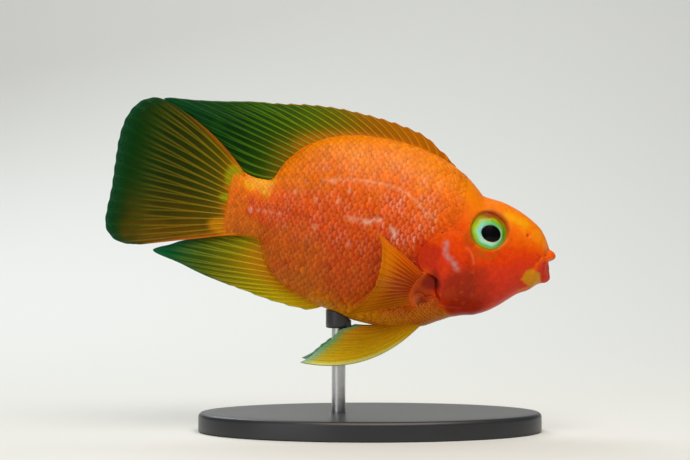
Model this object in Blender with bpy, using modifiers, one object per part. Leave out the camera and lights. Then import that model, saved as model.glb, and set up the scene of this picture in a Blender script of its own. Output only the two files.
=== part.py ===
"""A life-size blood parrot cichlid, swimming nose down above a plain display stand.

The fish is modelled along its own axis: +X to the mouth, +Y to its left, +Z to its back, with
the origin at the middle of the body. One empty then pitches it nose down and lifts it, and the
stand is built upright under it, centred on the world's origin. Outlines are in millimetres in
the fish's own frame and are turned to metres where they are read.
"""

import math

import bmesh
import bpy
import numpy as np
from mathutils import Matrix, Vector

MM = 0.001

# Driving dimensions
NOSE_DOWN = math.radians(10)
FISH_HEIGHT = 72 * MM
JOINT_GAP = 0.3 * MM
TAIL_SWING = 7 * MM
TAIL_TIP_X = -94.5 * MM
SWING_START_X = -10 * MM
TAIL_ROOT_X = -48.5 * MM
TAIL_JOINT_X = -38.2 * MM
MUZZLE_X = 64 * MM
SIDES = {"right": -1, "left": 1}

# The fish from the side: the body's back and belly without the fins, from tail to muzzle.
BACK_LINE = [
    (-48.5, 13.4), (-46, 12.5), (-43, 12.0), (-40, 12.0), (-38, 12.6), (-37, 14.2),
    (-36, 16.6), (-34.5, 19.4), (-32, 22.8), (-29, 25.8), (-25, 28.6), (-20, 31.1),
    (-14, 32.9), (-7, 33.9), (0, 34.1), (8, 33.6), (15, 32.5), (20, 31.1), (25, 29.1),
    (32, 25.2), (36, 21.9), (38.3, 19.9), (40, 19.6), (45, 19.0), (50, 17.6), (55, 15.4),
    (60, 12.3), (62.3, 9.9), (64, 7.4),
]
BELLY_LINE = [
    (-48.5, -9.9), (-45, -9.3), (-41, -9.4), (-38.6, -10.4), (-37.2, -13.2), (-35.5, -17),
    (-32.5, -21), (-28, -24.2), (-22, -26.8), (-16, -28.7), (-10, -30.1), (-5, -31.4),
    (0, -32.3), (6, -32.7), (12, -32.5), (18, -31.6), (24, -30.3), (30, -27.2), (35, -24.8),
    (38, -23.8), (42, -22.9), (46, -21.1), (50, -18.3), (53, -15.6), (56, -13), (60, -10.7),
    (62, -8.9), (64, -7.5),
]
# The body from above, and how high its widest place lies.
HALF_WIDTH = [
    (-48.5, 2.3), (-44, 3.6), (-38, 5.6), (-30, 8.8), (-20, 12.2), (-10, 14.6), (0, 16.0),
    (10, 16.6), (20, 16.4), (30, 15.4), (40, 13.5), (50, 10.8), (57, 8.4), (61, 6.8), (64, 5.7),
]
WIDEST_LEVEL = [(-48.5, 1.7), (-30, 0.5), (0, -1.5), (25, -4.5), (45, -2.5), (58, 0), (64, -0.4)]
BACK_ROUNDNESS = 1.95
BELLY_ROUNDNESS = 2.25

# Where the naked head ends and the scaled trunk begins: length by height.
COLLAR_LINE = [
    (-34, 38.2), (-30, 37.2), (-26, 34.5), (-22, 30.5), (-17, 26.6), (-11, 24.4), (-4, 24.2),
    (3, 26.8), (9, 30.6), (15, 34.2), (20, 38.0), (25, 39.5), (36, 40.5),
]

# The beak-like mouth, ring by ring from the cheek to the throat: the top of each ring, its
# corner at the side, its bottom, and its half width.
MUZZLE_RINGS = [
    ((65.0, 5.1), (62.7, -0.4), (64.8, -7.4), 4.9),
    ((66.1, 4.6), (63.5, -0.2), (65.9, -7.0), 5.0),
    ((67.2, 2.9), (64.3, 0.0), (66.9, -5.6), 4.3),
    ((66.9, 1.5), (64.5, 0.0), (66.4, -4.5), 3.2),
    ((65.4, 0.8), (63.6, -0.3), (65.0, -3.8), 2.5),
    ((61.5, 0.3), (61.2, -1.2), (61.5, -3.0), 2.0),
]
CHEEK_FOLD = [(64.3, 2.3), (62.3, 1.0), (60.6, -0.8), (59.6, -3.4)]
CHEEK_FOLD_RADIUS = 0.45 * MM
NOSTRIL = (56.0, 8.5)
NOSTRIL_RADIUS = 0.75 * MM

# The gill cover from the side: its front edge at the cheek and its free hind edge.
COVER_FRONT = [(-22, 39.6), (-16, 41), (-9, 40), (-2, 38), (3, 35.6), (6.5, 33.6)]
COVER_HIND = [
    (-22, 31), (-19.5, 28.8), (-16.5, 27.7), (-13.5, 27.2), (-12, 26.2), (-11, 23.6),
    (-10.2, 20.8), (-8.5, 19.0), (-6, 18.4), (-3, 19), (1, 21.8), (4, 25.6), (6.5, 31),
]
COVER_BOTTOM = -22 * MM
COVER_TOP = 6.5 * MM
COVER_DEPTH = 1.1 * MM
COVER_STANDS_PROUD = (0.15 * MM, 0.9 * MM)
COVER_CLEARANCE = 1.3 * JOINT_GAP
GILL_OPENING = (24.2, -15.6)
GILL_OPENING_SIZE = (3.2, 2.6, 3.9)

EYE = (41.6, 7.8)
EYE_SINK = 1.0 * MM
ORBIT_RADIUS = 7.3 * MM
ORBIT_RIM = 1.0 * MM
ORBIT_SINK = 0.2 * MM
# The eye turned about its own axis: distance from the axis and height, front to back.
EYE_PROFILE = [
    (0, 3.6), (1.6, 3.5), (2.9, 3.1), (3.4, 2.75), (4.8, 2.3), (5.9, 1.5), (6.5, 0.2),
    (6.1, -1.6), (4.5, -3.2), (2.4, -4.0), (0, -4.2),
]

# Fins: how thick the membrane and the rays are, at the root and at the rim.
MEMBRANE = 0.55 * MM
RIM_THICKNESS = 0.5 * MM
RAY_HEIGHT = 0.26 * MM
RAY_HALF_WIDTH = 0.17
MEDIAN_ROOT = 1.7 * MM
CAUDAL_ROOT = 2.6 * MM
PELVIC_ROOT = 1.3 * MM
PECTORAL_ROOT = 1.5 * MM
# How far the middle line of each foot stands off the flesh. Measured square to the skin that
# leaves the joint's gap at the edges of the foot, which are lower on the round body.
MEDIAN_CLEARANCE = 1.3 * JOINT_GAP
PELVIC_CLEARANCE = 2.4 * JOINT_GAP
PECTORAL_CLEARANCE = 1.5 * JOINT_GAP
# How deep the rim is drawn in between hard spines, and between soft rays.
SPINE_NOTCH = 0.75 * MM
SOFT_NOTCH = 0.2 * MM

# The long fin on the back: its rim from front to tip, then down its hidden hind edge.
DORSAL_RIM = [
    (25.2, 30.2), (20, 33.7), (13, 38.0), (4, 40.2), (-4, 41.3), (-12, 41.9), (-20, 42.2),
    (-30, 41.6), (-40, 40.2), (-50, 39.1), (-60, 37.4), (-70, 36.0), (-80, 34.6), (-74, 30.0),
    (-66, 24.9), (-60, 21.4), (-55, 18.4),
]
DORSAL_BASE_FRONT_X = 24.2 * MM
DORSAL_BASE_REAR_X = -37.3 * MM
DORSAL_SPINES = 16
DORSAL_RAYS = 28
DORSAL_LAST_SPINE_BASE = 0.635
DORSAL_LAST_SPINE_RIM = 0.51
DORSAL_FIRST_RIM = 0.025
# How far the rays bow in the side view, and at which shares of the fin.
DORSAL_BOW_AT = [0, 0.5556, 0.84, 1]
DORSAL_BOW = [-0.4, -1.0, -0.3, 1.6]

ANAL_RIM = [
    (-12.5, -30.9), (-19, -31.7), (-27, -31.1), (-34, -30.2), (-42, -28.6), (-50, -27.1),
    (-58, -25.3), (-66, -22.9), (-76, -20.2), (-71, -17.2), (-64, -14.0), (-56, -11.3),
    (-49, -10.6),
]
ANAL_BASE_FRONT_X = -11.2 * MM
ANAL_BASE_REAR_X = -38.2 * MM
ANAL_SPINES = 5
ANAL_RAYS = 15
ANAL_FIRST_RIM = 0.06
ANAL_BOW_AT = [0, 0.4, 0.85, 1]
ANAL_BOW = [0.3, 0.8, -0.1, -0.5]

# How far the hind edges of the two long fins lie beside the tail fin, towards the left.
FIN_ASIDE = 3.2 * MM

CAUDAL_TOP = (-48.9, 13.2)
CAUDAL_BOTTOM = (-48.9, -9.7)
CAUDAL_RIM = [
    (-80.5, 34.0), (-84, 34.3), (-88, 32.8), (-91, 29.8), (-93.4, 24.5), (-94.4, 17.5),
    (-94.3, 9), (-94, 0), (-94.3, -8), (-94.1, -13), (-92.8, -16), (-90, -18.4), (-86, -19.3),
    (-81, -18.8),
]
CAUDAL_RAYS = 17
CAUDAL_TOP_BOW = 2.4 * MM

# Pelvic fins: each ray's tip along the hind rim, from the leading spine to the innermost ray.
PELVIC_ROOT_X = (24.3 * MM, 13.6 * MM)
PELVIC_ROOT_Y = (4.4 * MM, 3.4 * MM)
PELVIC_RIM = [
    (-16.5, -49.9), (-13.2, -47.3), (-10.8, -44.2), (-7.2, -40.2), (-5, -36.8), (0.5, -34.0),
]
PELVIC_RAYS = 9
PELVIC_SPREAD = (12.5 * MM, 4.6 * MM)
PELVIC_BOW = (6.6 * MM, 0.5 * MM)

# Pectoral fins: the fleshy lobe behind the gill opening, and the rim of the cupped fan.
PECTORAL_LOBE = (19.6, -17.4)
PECTORAL_LOBE_SIZE = (3.2 * MM, 2.2 * MM, 7.6 * MM)
PECTORAL_LOBE_SINK = 0.5 * MM
PECTORAL_ROOT_LATITUDE = math.radians(38)
PECTORAL_ROOT_ANGLES = (math.radians(72), math.radians(-66))
PECTORAL_RIM = [
    (1.8, 0.5), (4.4, -3.2), (5.2, -8), (5.2, -13), (4.6, -18.2), (2.4, -23.2), (-0.8, -27.3),
    (-4.2, -30.6),
]
# How far out from the midline the rim stands, from the top ray to the lowest.
PECTORAL_REACH = [(0, 19.0), (0.2, 26.0), (0.45, 31.0), (0.7, 27.0), (1, 15.5)]
PECTORAL_RAYS = 12
PECTORAL_BOW = 1.2 * MM

ROD_X = -6 * MM
ROD_RADIUS = 2.5 * MM
SADDLE_RADIUS = 4.6 * MM
SADDLE_HEIGHT = 5 * MM
SADDLE_HORNS = 3 * MM
SADDLE_CLEARANCE = 1.2 * JOINT_GAP
BASE_LENGTH = 124 * MM
BASE_WIDTH = 78 * MM
BASE_THICKNESS = 7 * MM
BASE_EDGE = 1.4 * MM
BASE_SEGMENTS = 48

# Fineness of the meshes
AROUND = 36
TRUNK_RINGS = 20
HEAD_RINGS = 15
TAIL_RINGS = 6
FIN_ROWS = 6

# Colours, linear
SKIN_ORANGE = (0.80, 0.16, 0.012)
HEAD_ORANGE = (0.78, 0.12, 0.010)
COVER_RED = (0.62, 0.06, 0.008)
FIN_AMBER = (0.62, 0.26, 0.020)
TAIL_OLIVE = (0.40, 0.26, 0.030)
EYE_LIME = (0.55, 0.80, 0.42)
BASE_CHARCOAL = (0.035, 0.035, 0.038)
ROD_STEEL = (0.60, 0.61, 0.63)


# Lines and curves

def smooth_line(points):
    """A function of the first value through the points, by cubic pieces that never overshoot."""
    known, value = np.array(points, float).T * MM
    step = np.diff(known)
    rise = np.diff(value) / step
    slope = np.zeros(len(known))
    slope[0], slope[-1] = rise[0], rise[-1]
    same_way = rise[:-1] * rise[1:] > 0
    harmonic = 2 * rise[:-1] * rise[1:] / np.where(same_way, rise[:-1] + rise[1:], 1)
    slope[1:-1] = np.where(same_way, harmonic, 0)

    def at(query):
        query = np.asarray(query, float)
        piece = np.clip(np.searchsorted(known, query) - 1, 0, len(step) - 1)
        t = np.clip((query - known[piece]) / step[piece], 0, 1)
        ends = value[piece] * (1 + 2 * t) * (1 - t) ** 2 + value[piece + 1] * t * t * (3 - 2 * t)
        lean = slope[piece] * t * (1 - t) ** 2 - slope[piece + 1] * t * t * (1 - t)
        return ends + step[piece] * lean

    return at


def smooth_path(points, metres=False):
    """A function of 0 to 1, evenly along a smooth curve through points in the side view."""
    knots = np.array(points, float) * (1 if metres else MM)
    ahead = np.vstack([2 * knots[0] - knots[1], knots, 2 * knots[-1] - knots[-2]])
    lean = (ahead[2:] - ahead[:-2]) / 2
    t = np.linspace(0, 1, 24, endpoint=False)[:, None]
    pieces = [
        knots[k] * (1 + 2 * t) * (1 - t) ** 2 + knots[k + 1] * t * t * (3 - 2 * t)
        + lean[k] * t * (1 - t) ** 2 - lean[k + 1] * t * t * (1 - t)
        for k in range(len(knots) - 1)
    ]
    dense = np.vstack([*pieces, knots[-1:]])
    run = np.concatenate([[0], np.cumsum(np.linalg.norm(np.diff(dense, axis=0), axis=1))])
    run /= run[-1]

    def at(share):
        return np.stack([np.interp(share, run, column) for column in dense.T], axis=-1)

    return at


back = smooth_line(BACK_LINE)
belly = smooth_line(BELLY_LINE)
half_width = smooth_line(HALF_WIDTH)
widest_level = smooth_line(WIDEST_LEVEL)
collar = smooth_line(COLLAR_LINE)
cover_front = smooth_line(COVER_FRONT)
cover_hind = smooth_line(COVER_HIND)


# The form of the flesh

def swing(x):
    """How far the tail end is bent to the fish's right, at length x."""
    share = np.clip((SWING_START_X - x) / (SWING_START_X - TAIL_TIP_X), 0, None)
    return -TAIL_SWING * share**2


def section_point(x, angle):
    """y and z on the flesh at length x; angle runs round from the left side over the back."""
    out, up = np.cos(angle), np.sin(angle)
    level = widest_level(x)
    height = np.where(up > 0, back(x) - level, level - belly(x))
    power = 2 / np.where(up > 0, BACK_ROUNDNESS, BELLY_ROUNDNESS)
    y = half_width(x) * np.sign(out) * np.abs(out) ** power
    return y, level + height * np.sign(up) * np.abs(up) ** power


def flank(x, z):
    """Half the body's width at length x and height z, before the tail is bent."""
    level = widest_level(x)
    upper = z > level
    height = np.where(upper, back(x) - level, level - belly(x))
    power = np.where(upper, BACK_ROUNDNESS, BELLY_ROUNDNESS)
    share = np.clip(np.abs(z - level) / height, 0, 1)
    return half_width(x) * (1 - share**power) ** (1 / power)


def underside(x, y):
    """Height of the belly's skin at length x and y from the midline."""
    level = widest_level(x)
    share = np.clip(np.abs(y) / half_width(x), 0, 1)
    return level - (level - belly(x)) * (1 - share**BELLY_ROUNDNESS) ** (1 / BELLY_ROUNDNESS)


def on_flank(x, z, lift=0.0):
    """Points on the left flank, raised by lift along the skin's normal."""
    reach = 0.2 * MM
    across = (flank(x + reach, z) - flank(x - reach, z)) / (2 * reach)
    upward = (flank(x, z + reach) - flank(x, z - reach)) / (2 * reach)
    normal = np.stack([-across, np.ones_like(across), -upward], axis=-1)
    normal /= np.linalg.norm(normal, axis=-1, keepdims=True)
    point = np.stack([x, flank(x, z), z], axis=-1)
    return point + normal * np.asarray(lift)[..., None], normal


# Mesh makers

def new_collection(name):
    collection = bpy.data.collections.new(name)
    bpy.context.scene.collection.children.link(collection)
    return collection


def add_object(name, mesh_maker, collection, material=None, smooth_angle=35):
    """A new object whose mesh is what mesh_maker builds in a fresh bmesh."""
    mesh = bpy.data.meshes.new(name)
    form = bmesh.new()
    mesh_maker(form)
    form.to_mesh(mesh)
    form.free()
    obj = bpy.data.objects.new(name, mesh)
    collection.objects.link(obj)
    mesh.shade_smooth()
    mesh.set_sharp_from_angle(angle=math.radians(smooth_angle))
    if material:
        mesh.materials.append(material)
    return obj


def make_material(name, colour, roughness, metallic=0.0):
    material = bpy.data.materials.new(name)
    material.use_nodes = True
    shader = material.node_tree.nodes["Principled BSDF"]
    shader.inputs["Base Color"].default_value = (*colour, 1)
    shader.inputs["Roughness"].default_value = roughness
    shader.inputs["Metallic"].default_value = metallic
    material.diffuse_color = (*colour, 1)
    return material


def loft(form, rings, closed=False):
    """Skin over rings with as many points each, with fans on its ends or closed on itself."""
    rows = [[form.verts.new(point) for point in ring] for ring in rings]
    count = len(rows[0])
    for low, high in zip(rows, rows[1:] + rows[:1] if closed else rows[1:]):
        for k in range(count):
            after = (k + 1) % count
            form.faces.new((low[k], low[after], high[after], high[k]))
    for row in () if closed else (rows[0], rows[-1]):
        middle = form.verts.new(sum((v.co for v in row), Vector()) / count)
        for k in range(count):
            form.faces.new((row[k], row[(k + 1) % count], middle))
    bmesh.ops.recalc_face_normals(form, faces=form.faces)


def slab(form, front, rear):
    """Closed plate between two grids of points, split into triangles alike on both faces."""
    rows, columns = front.shape[:2]
    faces = [
        [[form.verts.new(point) for point in line] for line in grid] for grid in (front, rear)
    ]
    for i in range(rows - 1):
        for j in range(columns - 1):
            for grid in faces:
                a, b = grid[i][j], grid[i + 1][j]
                c, d = grid[i + 1][j + 1], grid[i][j + 1]
                form.faces.new((a, b, c))
                form.faces.new((a, c, d))
    rim = [(i, 0) for i in range(rows)] + [(rows - 1, j) for j in range(1, columns)]
    rim += [(i, columns - 1) for i in range(rows - 2, -1, -1)]
    rim += [(0, j) for j in range(columns - 2, 0, -1)]
    near, far = faces
    for here, there in zip(rim, rim[1:] + rim[:1]):
        a, b = near[here[0]][here[1]], near[there[0]][there[1]]
        c, d = far[there[0]][there[1]], far[here[0]][here[1]]
        form.faces.new((a, b, c))
        form.faces.new((a, c, d))
    bmesh.ops.recalc_face_normals(form, faces=form.faces)


def sheet_normals(grid):
    """Unit normals of a grid of points."""
    along = np.gradient(grid, axis=0)
    across = np.gradient(grid, axis=1)
    normal = np.cross(along, across)
    return normal / np.linalg.norm(normal, axis=-1, keepdims=True)


def cut_with(obj, cutters):
    """Takes a collection of cutters away from obj."""
    cut = obj.modifiers.new("cut", "BOOLEAN")
    cut.operation = "DIFFERENCE"
    cut.operand_type = "COLLECTION"
    cut.collection = cutters
    cut.solver = "EXACT"


def hide_cutter(obj):
    obj.hide_render = True
    obj.display_type = "WIRE"
    return obj


def mirrored(points, side):
    """Points of the left side, carried to the side asked for."""
    return points * np.array([1, side, 1])


# Head, trunk and tail

ANGLES = np.arange(AROUND) * 2 * math.pi / AROUND


def flesh_ring(rear, front, share, lift=0.0):
    """A ring of points, share of the way from one cut to another; a cut gives x by height."""
    x = np.full(AROUND, MUZZLE_X / 2)
    for _ in range(12):
        _, z = section_point(x, ANGLES)
        x = rear(z) * (1 - share) + front(z) * share
    y, z = section_point(x, ANGLES)
    if lift:
        level = widest_level(x)
        stretch = 1 + lift / np.hypot(y, z - level)
        y, z = y * stretch, level + (z - level) * stretch
    return np.stack([x, y + swing(x), z], axis=-1)


def muzzle_ring(top, corner, bottom, half):
    """A ring of the lips, drawn back at the corners of the mouth."""
    out, up = np.cos(ANGLES), np.sin(ANGLES)
    end_x = np.where(up > 0, top[0], bottom[0])
    end_z = np.where(up > 0, top[1], bottom[1])
    x = end_x + (corner[0] - end_x) * np.abs(out) ** 1.2
    z = corner[1] + (end_z - corner[1]) * np.abs(up)
    return np.stack([x, half * out, z], axis=-1) * MM


def level_cut(x):
    return lambda z: np.full_like(np.asarray(z, float), x)


def trunk_rings(lift=0.0):
    shares = np.linspace(0, 1, TRUNK_RINGS) ** 1.6
    rear = level_cut(TAIL_JOINT_X)
    return [flesh_ring(rear, collar, share, lift) for share in shares]


def head_rings():
    shares = 1 - (1 - np.linspace(0, 1, HEAD_RINGS)) ** 1.35

    def rear(z):
        return collar(z) + JOINT_GAP

    rings = [flesh_ring(rear, level_cut(MUZZLE_X), share) for share in shares]
    return rings + [muzzle_ring(*row) for row in MUZZLE_RINGS]


def tail_rings():
    rear, front = level_cut(TAIL_ROOT_X), level_cut(TAIL_JOINT_X - JOINT_GAP)
    return [flesh_ring(rear, front, share) for share in np.linspace(0, 1, TAIL_RINGS)]


def cover_grids(side, grow, inner, outer_front, outer_hind, rows=16, columns=9):
    """The two faces of a gill cover, between its front and hind edges."""
    heights = np.linspace(COVER_TOP + grow, COVER_BOTTOM - grow, rows)[:, None]
    share = np.linspace(0, 1, columns)[None, :]
    z = heights + 0 * share
    known = np.clip(z, COVER_BOTTOM, COVER_TOP)
    front, hind = cover_front(known) + grow, cover_hind(known) - grow
    x = front + (hind - front) * share
    lift = outer_front + (outer_hind - outer_front) * share**1.5 + 0 * z
    outer, _ = on_flank(x, z, lift)
    under, _ = on_flank(x, z, inner + 0 * z)
    return mirrored(outer, side), mirrored(under, side)


def gill_cover(name, side, collection, material):
    grids = cover_grids(side, 0.0, -COVER_DEPTH, *COVER_STANDS_PROUD)
    return add_object(name, lambda form: slab(form, *grids), collection, material)


def gill_pocket(side, collection):
    """What the flesh gives way to, so that the gill cover lies in it with a gap all round."""
    deep, high = -COVER_DEPTH - JOINT_GAP, 3 * MM
    grids = cover_grids(side, COVER_CLEARANCE, deep, high, high)
    pocket = add_object(f"pocket_{side}", lambda form: slab(form, *grids), collection)
    return hide_cutter(pocket)


def eye_frame(side):
    """The eye's middle and the way it looks, on one side."""
    x, z = (np.array([value * MM]) for value in EYE)
    point, normal = on_flank(x, z)
    middle = mirrored(point - normal * EYE_SINK, side)[0]
    return Vector(middle), Vector(mirrored(normal, side)[0])


def turned(name, profile, steps, collection, material=None):
    """A closed shape turned about Z from a profile of (radius, height) in millimetres."""
    mesh = bpy.data.meshes.new(name)
    points = [(radius * MM, 0, height * MM) for radius, height in profile]
    mesh.from_pydata(points, [(k, k + 1) for k in range(len(points) - 1)], [])
    obj = bpy.data.objects.new(name, mesh)
    collection.objects.link(obj)
    screw = obj.modifiers.new("turn", "SCREW")
    screw.axis = "Z"
    screw.steps = screw.render_steps = steps
    screw.use_merge_vertices = True
    screw.merge_threshold = 0.00001
    screw.use_smooth_shade = True
    if material:
        mesh.materials.append(material)
    return obj


def aim(obj, point, direction):
    obj.location = point
    obj.rotation_mode = "QUATERNION"
    obj.rotation_quaternion = direction.to_track_quat("Z", "Y")
    return obj


def make_eye(name, side, collection, material):
    return aim(turned(name, EYE_PROFILE, 24, collection, material), *eye_frame(side))


def socket_cutter(side, collection):
    """The eye's own profile, larger by the gap."""
    grown = [
        (radius + 0.3 * min(radius, 1), height + (0.3 if height > 0 else -0.3))
        for radius, height in EYE_PROFILE
    ]
    grown[0] = (0, 9)
    grown[1:6] = [(EYE_PROFILE[5][0] + 0.3, 9), (EYE_PROFILE[5][0] + 0.6, 1.5)]
    cutter = turned(f"socket_{side}", grown, 24, collection)
    return hide_cutter(aim(cutter, *eye_frame(side)))


def orbit_ring(side, collection):
    """A low rim of skin that is joined to the head round the eye, and follows its surface."""
    middle, looks = (np.array(value) * [1, side, 1] for value in eye_frame(side))
    forward = np.cross(looks, [0, 0, 1])
    forward /= np.linalg.norm(forward)
    upward = np.cross(forward, looks)
    turns = np.linspace(0, 2 * math.pi, 24, endpoint=False)[:, None]
    out = np.cos(turns) * forward + np.sin(turns) * upward
    spot = middle + out * ORBIT_RADIUS
    skin = np.stack([spot[:, 0], flank(spot[:, 0], spot[:, 2]), spot[:, 2]], axis=-1)
    height = np.maximum(((skin - middle) * looks).sum(axis=1), -ORBIT_SINK)[:, None]
    spot = spot + height * looks
    around = np.arange(8) * math.pi / 4
    rings = [
        mirrored(spot[k] + ORBIT_RIM * (np.cos(around)[:, None] * out[k]
                                        + np.sin(around)[:, None] * looks), side)
        for k in range(len(turns))
    ]
    return add_object(f"orbit_{side}", lambda form: loft(form, rings, closed=True), collection)


def nostril_cutter(side, collection):
    x, z = (np.array([value * MM]) for value in NOSTRIL)
    point, _ = on_flank(x, z)

    def pit(form):
        bmesh.ops.create_uvsphere(form, u_segments=8, v_segments=6, radius=NOSTRIL_RADIUS)

    cutter = add_object(f"nostril_{side}", pit, collection)
    cutter.location = mirrored(point, side)[0]
    return hide_cutter(cutter)


def fold_cutter(side, collection):
    """The crease from the corner of the mouth down the cheek."""
    line = smooth_path(CHEEK_FOLD)(np.linspace(0, 1, 7))
    middle, normal = on_flank(np.minimum(line[:, 0], MUZZLE_X), line[:, 1])
    middle[:, 0] = line[:, 0]
    along = np.gradient(middle, axis=0)
    along /= np.linalg.norm(along, axis=1, keepdims=True)
    beside = np.cross(along, normal)
    turns = np.arange(6) * math.pi / 3
    radius = CHEEK_FOLD_RADIUS * np.sin(np.linspace(0.5, math.pi - 0.5, 7))
    rings = [
        mirrored(middle[k] + radius[k] * (np.cos(turns)[:, None] * normal[k]
                                          + np.sin(turns)[:, None] * beside[k]), side)
        for k in range(7)
    ]
    return hide_cutter(add_object(f"fold_{side}", lambda form: loft(form, rings), collection))


def gill_opening_cutter(side, collection):
    """The hollow that shows behind the lower edge of the gill cover."""
    x, z = (np.array([value * MM]) for value in GILL_OPENING)
    point, _ = on_flank(x, z)
    size = Matrix.Diagonal([*(value * MM for value in GILL_OPENING_SIZE), 1])

    def hollow(form):
        bmesh.ops.create_uvsphere(form, u_segments=12, v_segments=8, radius=1, matrix=size)

    cutter = add_object(f"gill_opening_{side}", hollow, collection)
    cutter.location = mirrored(point, side)[0]
    return hide_cutter(cutter)


def join_and_apply(obj, pieces):
    """Joins a collection's closed meshes to obj, and removes them."""
    union = obj.modifiers.new("join", "BOOLEAN")
    union.operation = "UNION"
    union.operand_type = "COLLECTION"
    union.collection = pieces
    union.solver = "EXACT"
    bpy.context.view_layer.update()
    graph = bpy.context.evaluated_depsgraph_get()
    joined = bpy.data.meshes.new_from_object(obj.evaluated_get(graph))
    obj.modifiers.clear()
    obj.data = joined
    for piece in list(pieces.objects):
        bpy.data.objects.remove(piece)
    bpy.data.collections.remove(pieces)


# Fins

def ray_columns(rays):
    """Where a fin's columns lie from its first ray to its last, and which stand on a ray.

    Each ray takes two columns, its flanks, and the membrane between two rays takes one.
    """
    offsets = np.array([-RAY_HALF_WIDTH, RAY_HALF_WIDTH, 0.5])
    places = (np.arange(rays)[:, None] + offsets).ravel()[:-1]
    on_ray = np.tile([1.0, 1.0, 0.0], rays)[:-1]
    return np.clip(places / (rays - 1), 0, 1), on_ray


def fin_object(name, middle, columns, on_ray, root_thickness, collection, material):
    """A fin from the grid of its middle surface, with each ray raised on both faces."""
    rows = middle.shape[1]
    along = np.linspace(0, 1, rows)[None, :]
    web = MEMBRANE + (RIM_THICKNESS - MEMBRANE) * along
    ray = RAY_HEIGHT * (1 - 0.75 * along) * on_ray[:, None]
    root = (root_thickness - web) * np.clip(1 - along / 0.16, 0, 1)
    half = np.maximum(web + root, web + 2 * ray) / 2
    normal = sheet_normals(middle)
    offset = normal * half[..., None]
    return add_object(
        name, lambda form: slab(form, middle + offset, middle - offset), collection, material, 25
    )


def base_path(line, front_x, rear_x, outward):
    """The foot of a long fin, clear of the body's outline by the gap."""
    x = np.linspace(front_x, rear_x, 160)
    edge = smooth_path(np.stack([x, line(x)], axis=-1), metres=True)(np.linspace(0, 1, 160))
    along = np.gradient(edge, axis=0)
    along /= np.linalg.norm(along, axis=1, keepdims=True)
    normal = np.stack([along[:, 1], -along[:, 0]], axis=-1) * outward
    return smooth_path(edge + normal * MEDIAN_CLEARANCE, metres=True)


def rows_between(root, tip, bow, aside, rows=FIN_ROWS, first=0.0):
    """Grid of rays from root to tip, bowed in the side view and set aside towards the rim."""
    t = np.linspace(0, 1, rows)[None, :, None] ** 1.15
    flat = root[:, None, :] * (1 - t) + tip[:, None, :] * t
    span = tip - root
    beside = np.stack([-span[:, 1], span[:, 0]], axis=-1)
    beside /= np.linalg.norm(beside, axis=1, keepdims=True)
    flat = flat + beside[:, None, :] * bow[:, None, None] * 4 * t * (1 - t)
    x, z = flat[..., 0], flat[..., 1]
    y = swing(x) + first + aside * t[..., 0] ** 2
    return np.stack([x, y, z], axis=-1)


def notched(tip, root, on_ray, depth):
    """Draws the rim in between the rays, so that each ray's end stands out."""
    span = root - tip
    span /= np.linalg.norm(span, axis=1, keepdims=True)
    return tip + span * (1 - on_ray)[:, None] * depth[:, None]


def dorsal_fin(collection, material):
    columns, on_ray = ray_columns(DORSAL_RAYS)
    last_spine = (DORSAL_SPINES - 1) / (DORSAL_RAYS - 1)
    foot = base_path(back, DORSAL_BASE_FRONT_X, DORSAL_BASE_REAR_X, 1)
    knots = [0, last_spine, 1]
    root = foot(np.interp(columns, knots, [0, DORSAL_LAST_SPINE_BASE, 1]))
    reach = np.interp(columns, knots, [DORSAL_FIRST_RIM, DORSAL_LAST_SPINE_RIM, 1])
    tip = smooth_path(DORSAL_RIM)(reach)
    tip = notched(tip, root, on_ray, np.where(columns < last_spine, SPINE_NOTCH, SOFT_NOTCH))
    bow = np.interp(columns, DORSAL_BOW_AT, DORSAL_BOW) * MM
    middle = rows_between(root, tip, bow, FIN_ASIDE * columns[:, None] ** 2)
    return fin_object("dorsal_fin", middle, columns, on_ray, MEDIAN_ROOT, collection, material)


def anal_fin(collection, material):
    columns, on_ray = ray_columns(ANAL_RAYS)
    foot = base_path(belly, ANAL_BASE_FRONT_X, ANAL_BASE_REAR_X, -1)
    root = foot(columns)
    tip = smooth_path(ANAL_RIM)(ANAL_FIRST_RIM + (1 - ANAL_FIRST_RIM) * columns)
    spiny = columns < ANAL_SPINES / ANAL_RAYS
    tip = notched(tip, root, on_ray, np.where(spiny, SPINE_NOTCH, SOFT_NOTCH))
    bow = np.interp(columns, ANAL_BOW_AT, ANAL_BOW) * MM
    middle = rows_between(root, tip, bow, FIN_ASIDE * columns[:, None])
    return fin_object("anal_fin", middle, columns, on_ray, MEDIAN_ROOT, collection, material)


def caudal_fin(collection, material):
    columns, on_ray = ray_columns(CAUDAL_RAYS)
    top, bottom = np.array(CAUDAL_TOP) * MM, np.array(CAUDAL_BOTTOM) * MM
    root = top + (bottom - top) * columns[:, None]
    tip = smooth_path(CAUDAL_RIM)(columns)
    tip = notched(tip, root, on_ray, np.full(len(columns), SOFT_NOTCH))
    bow = -CAUDAL_TOP_BOW * (1 - columns) ** 2
    middle = rows_between(root, tip, bow, np.zeros((len(columns), 1)), rows=7)
    return fin_object("caudal_fin", middle, columns, on_ray, CAUDAL_ROOT, collection, material)


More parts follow.
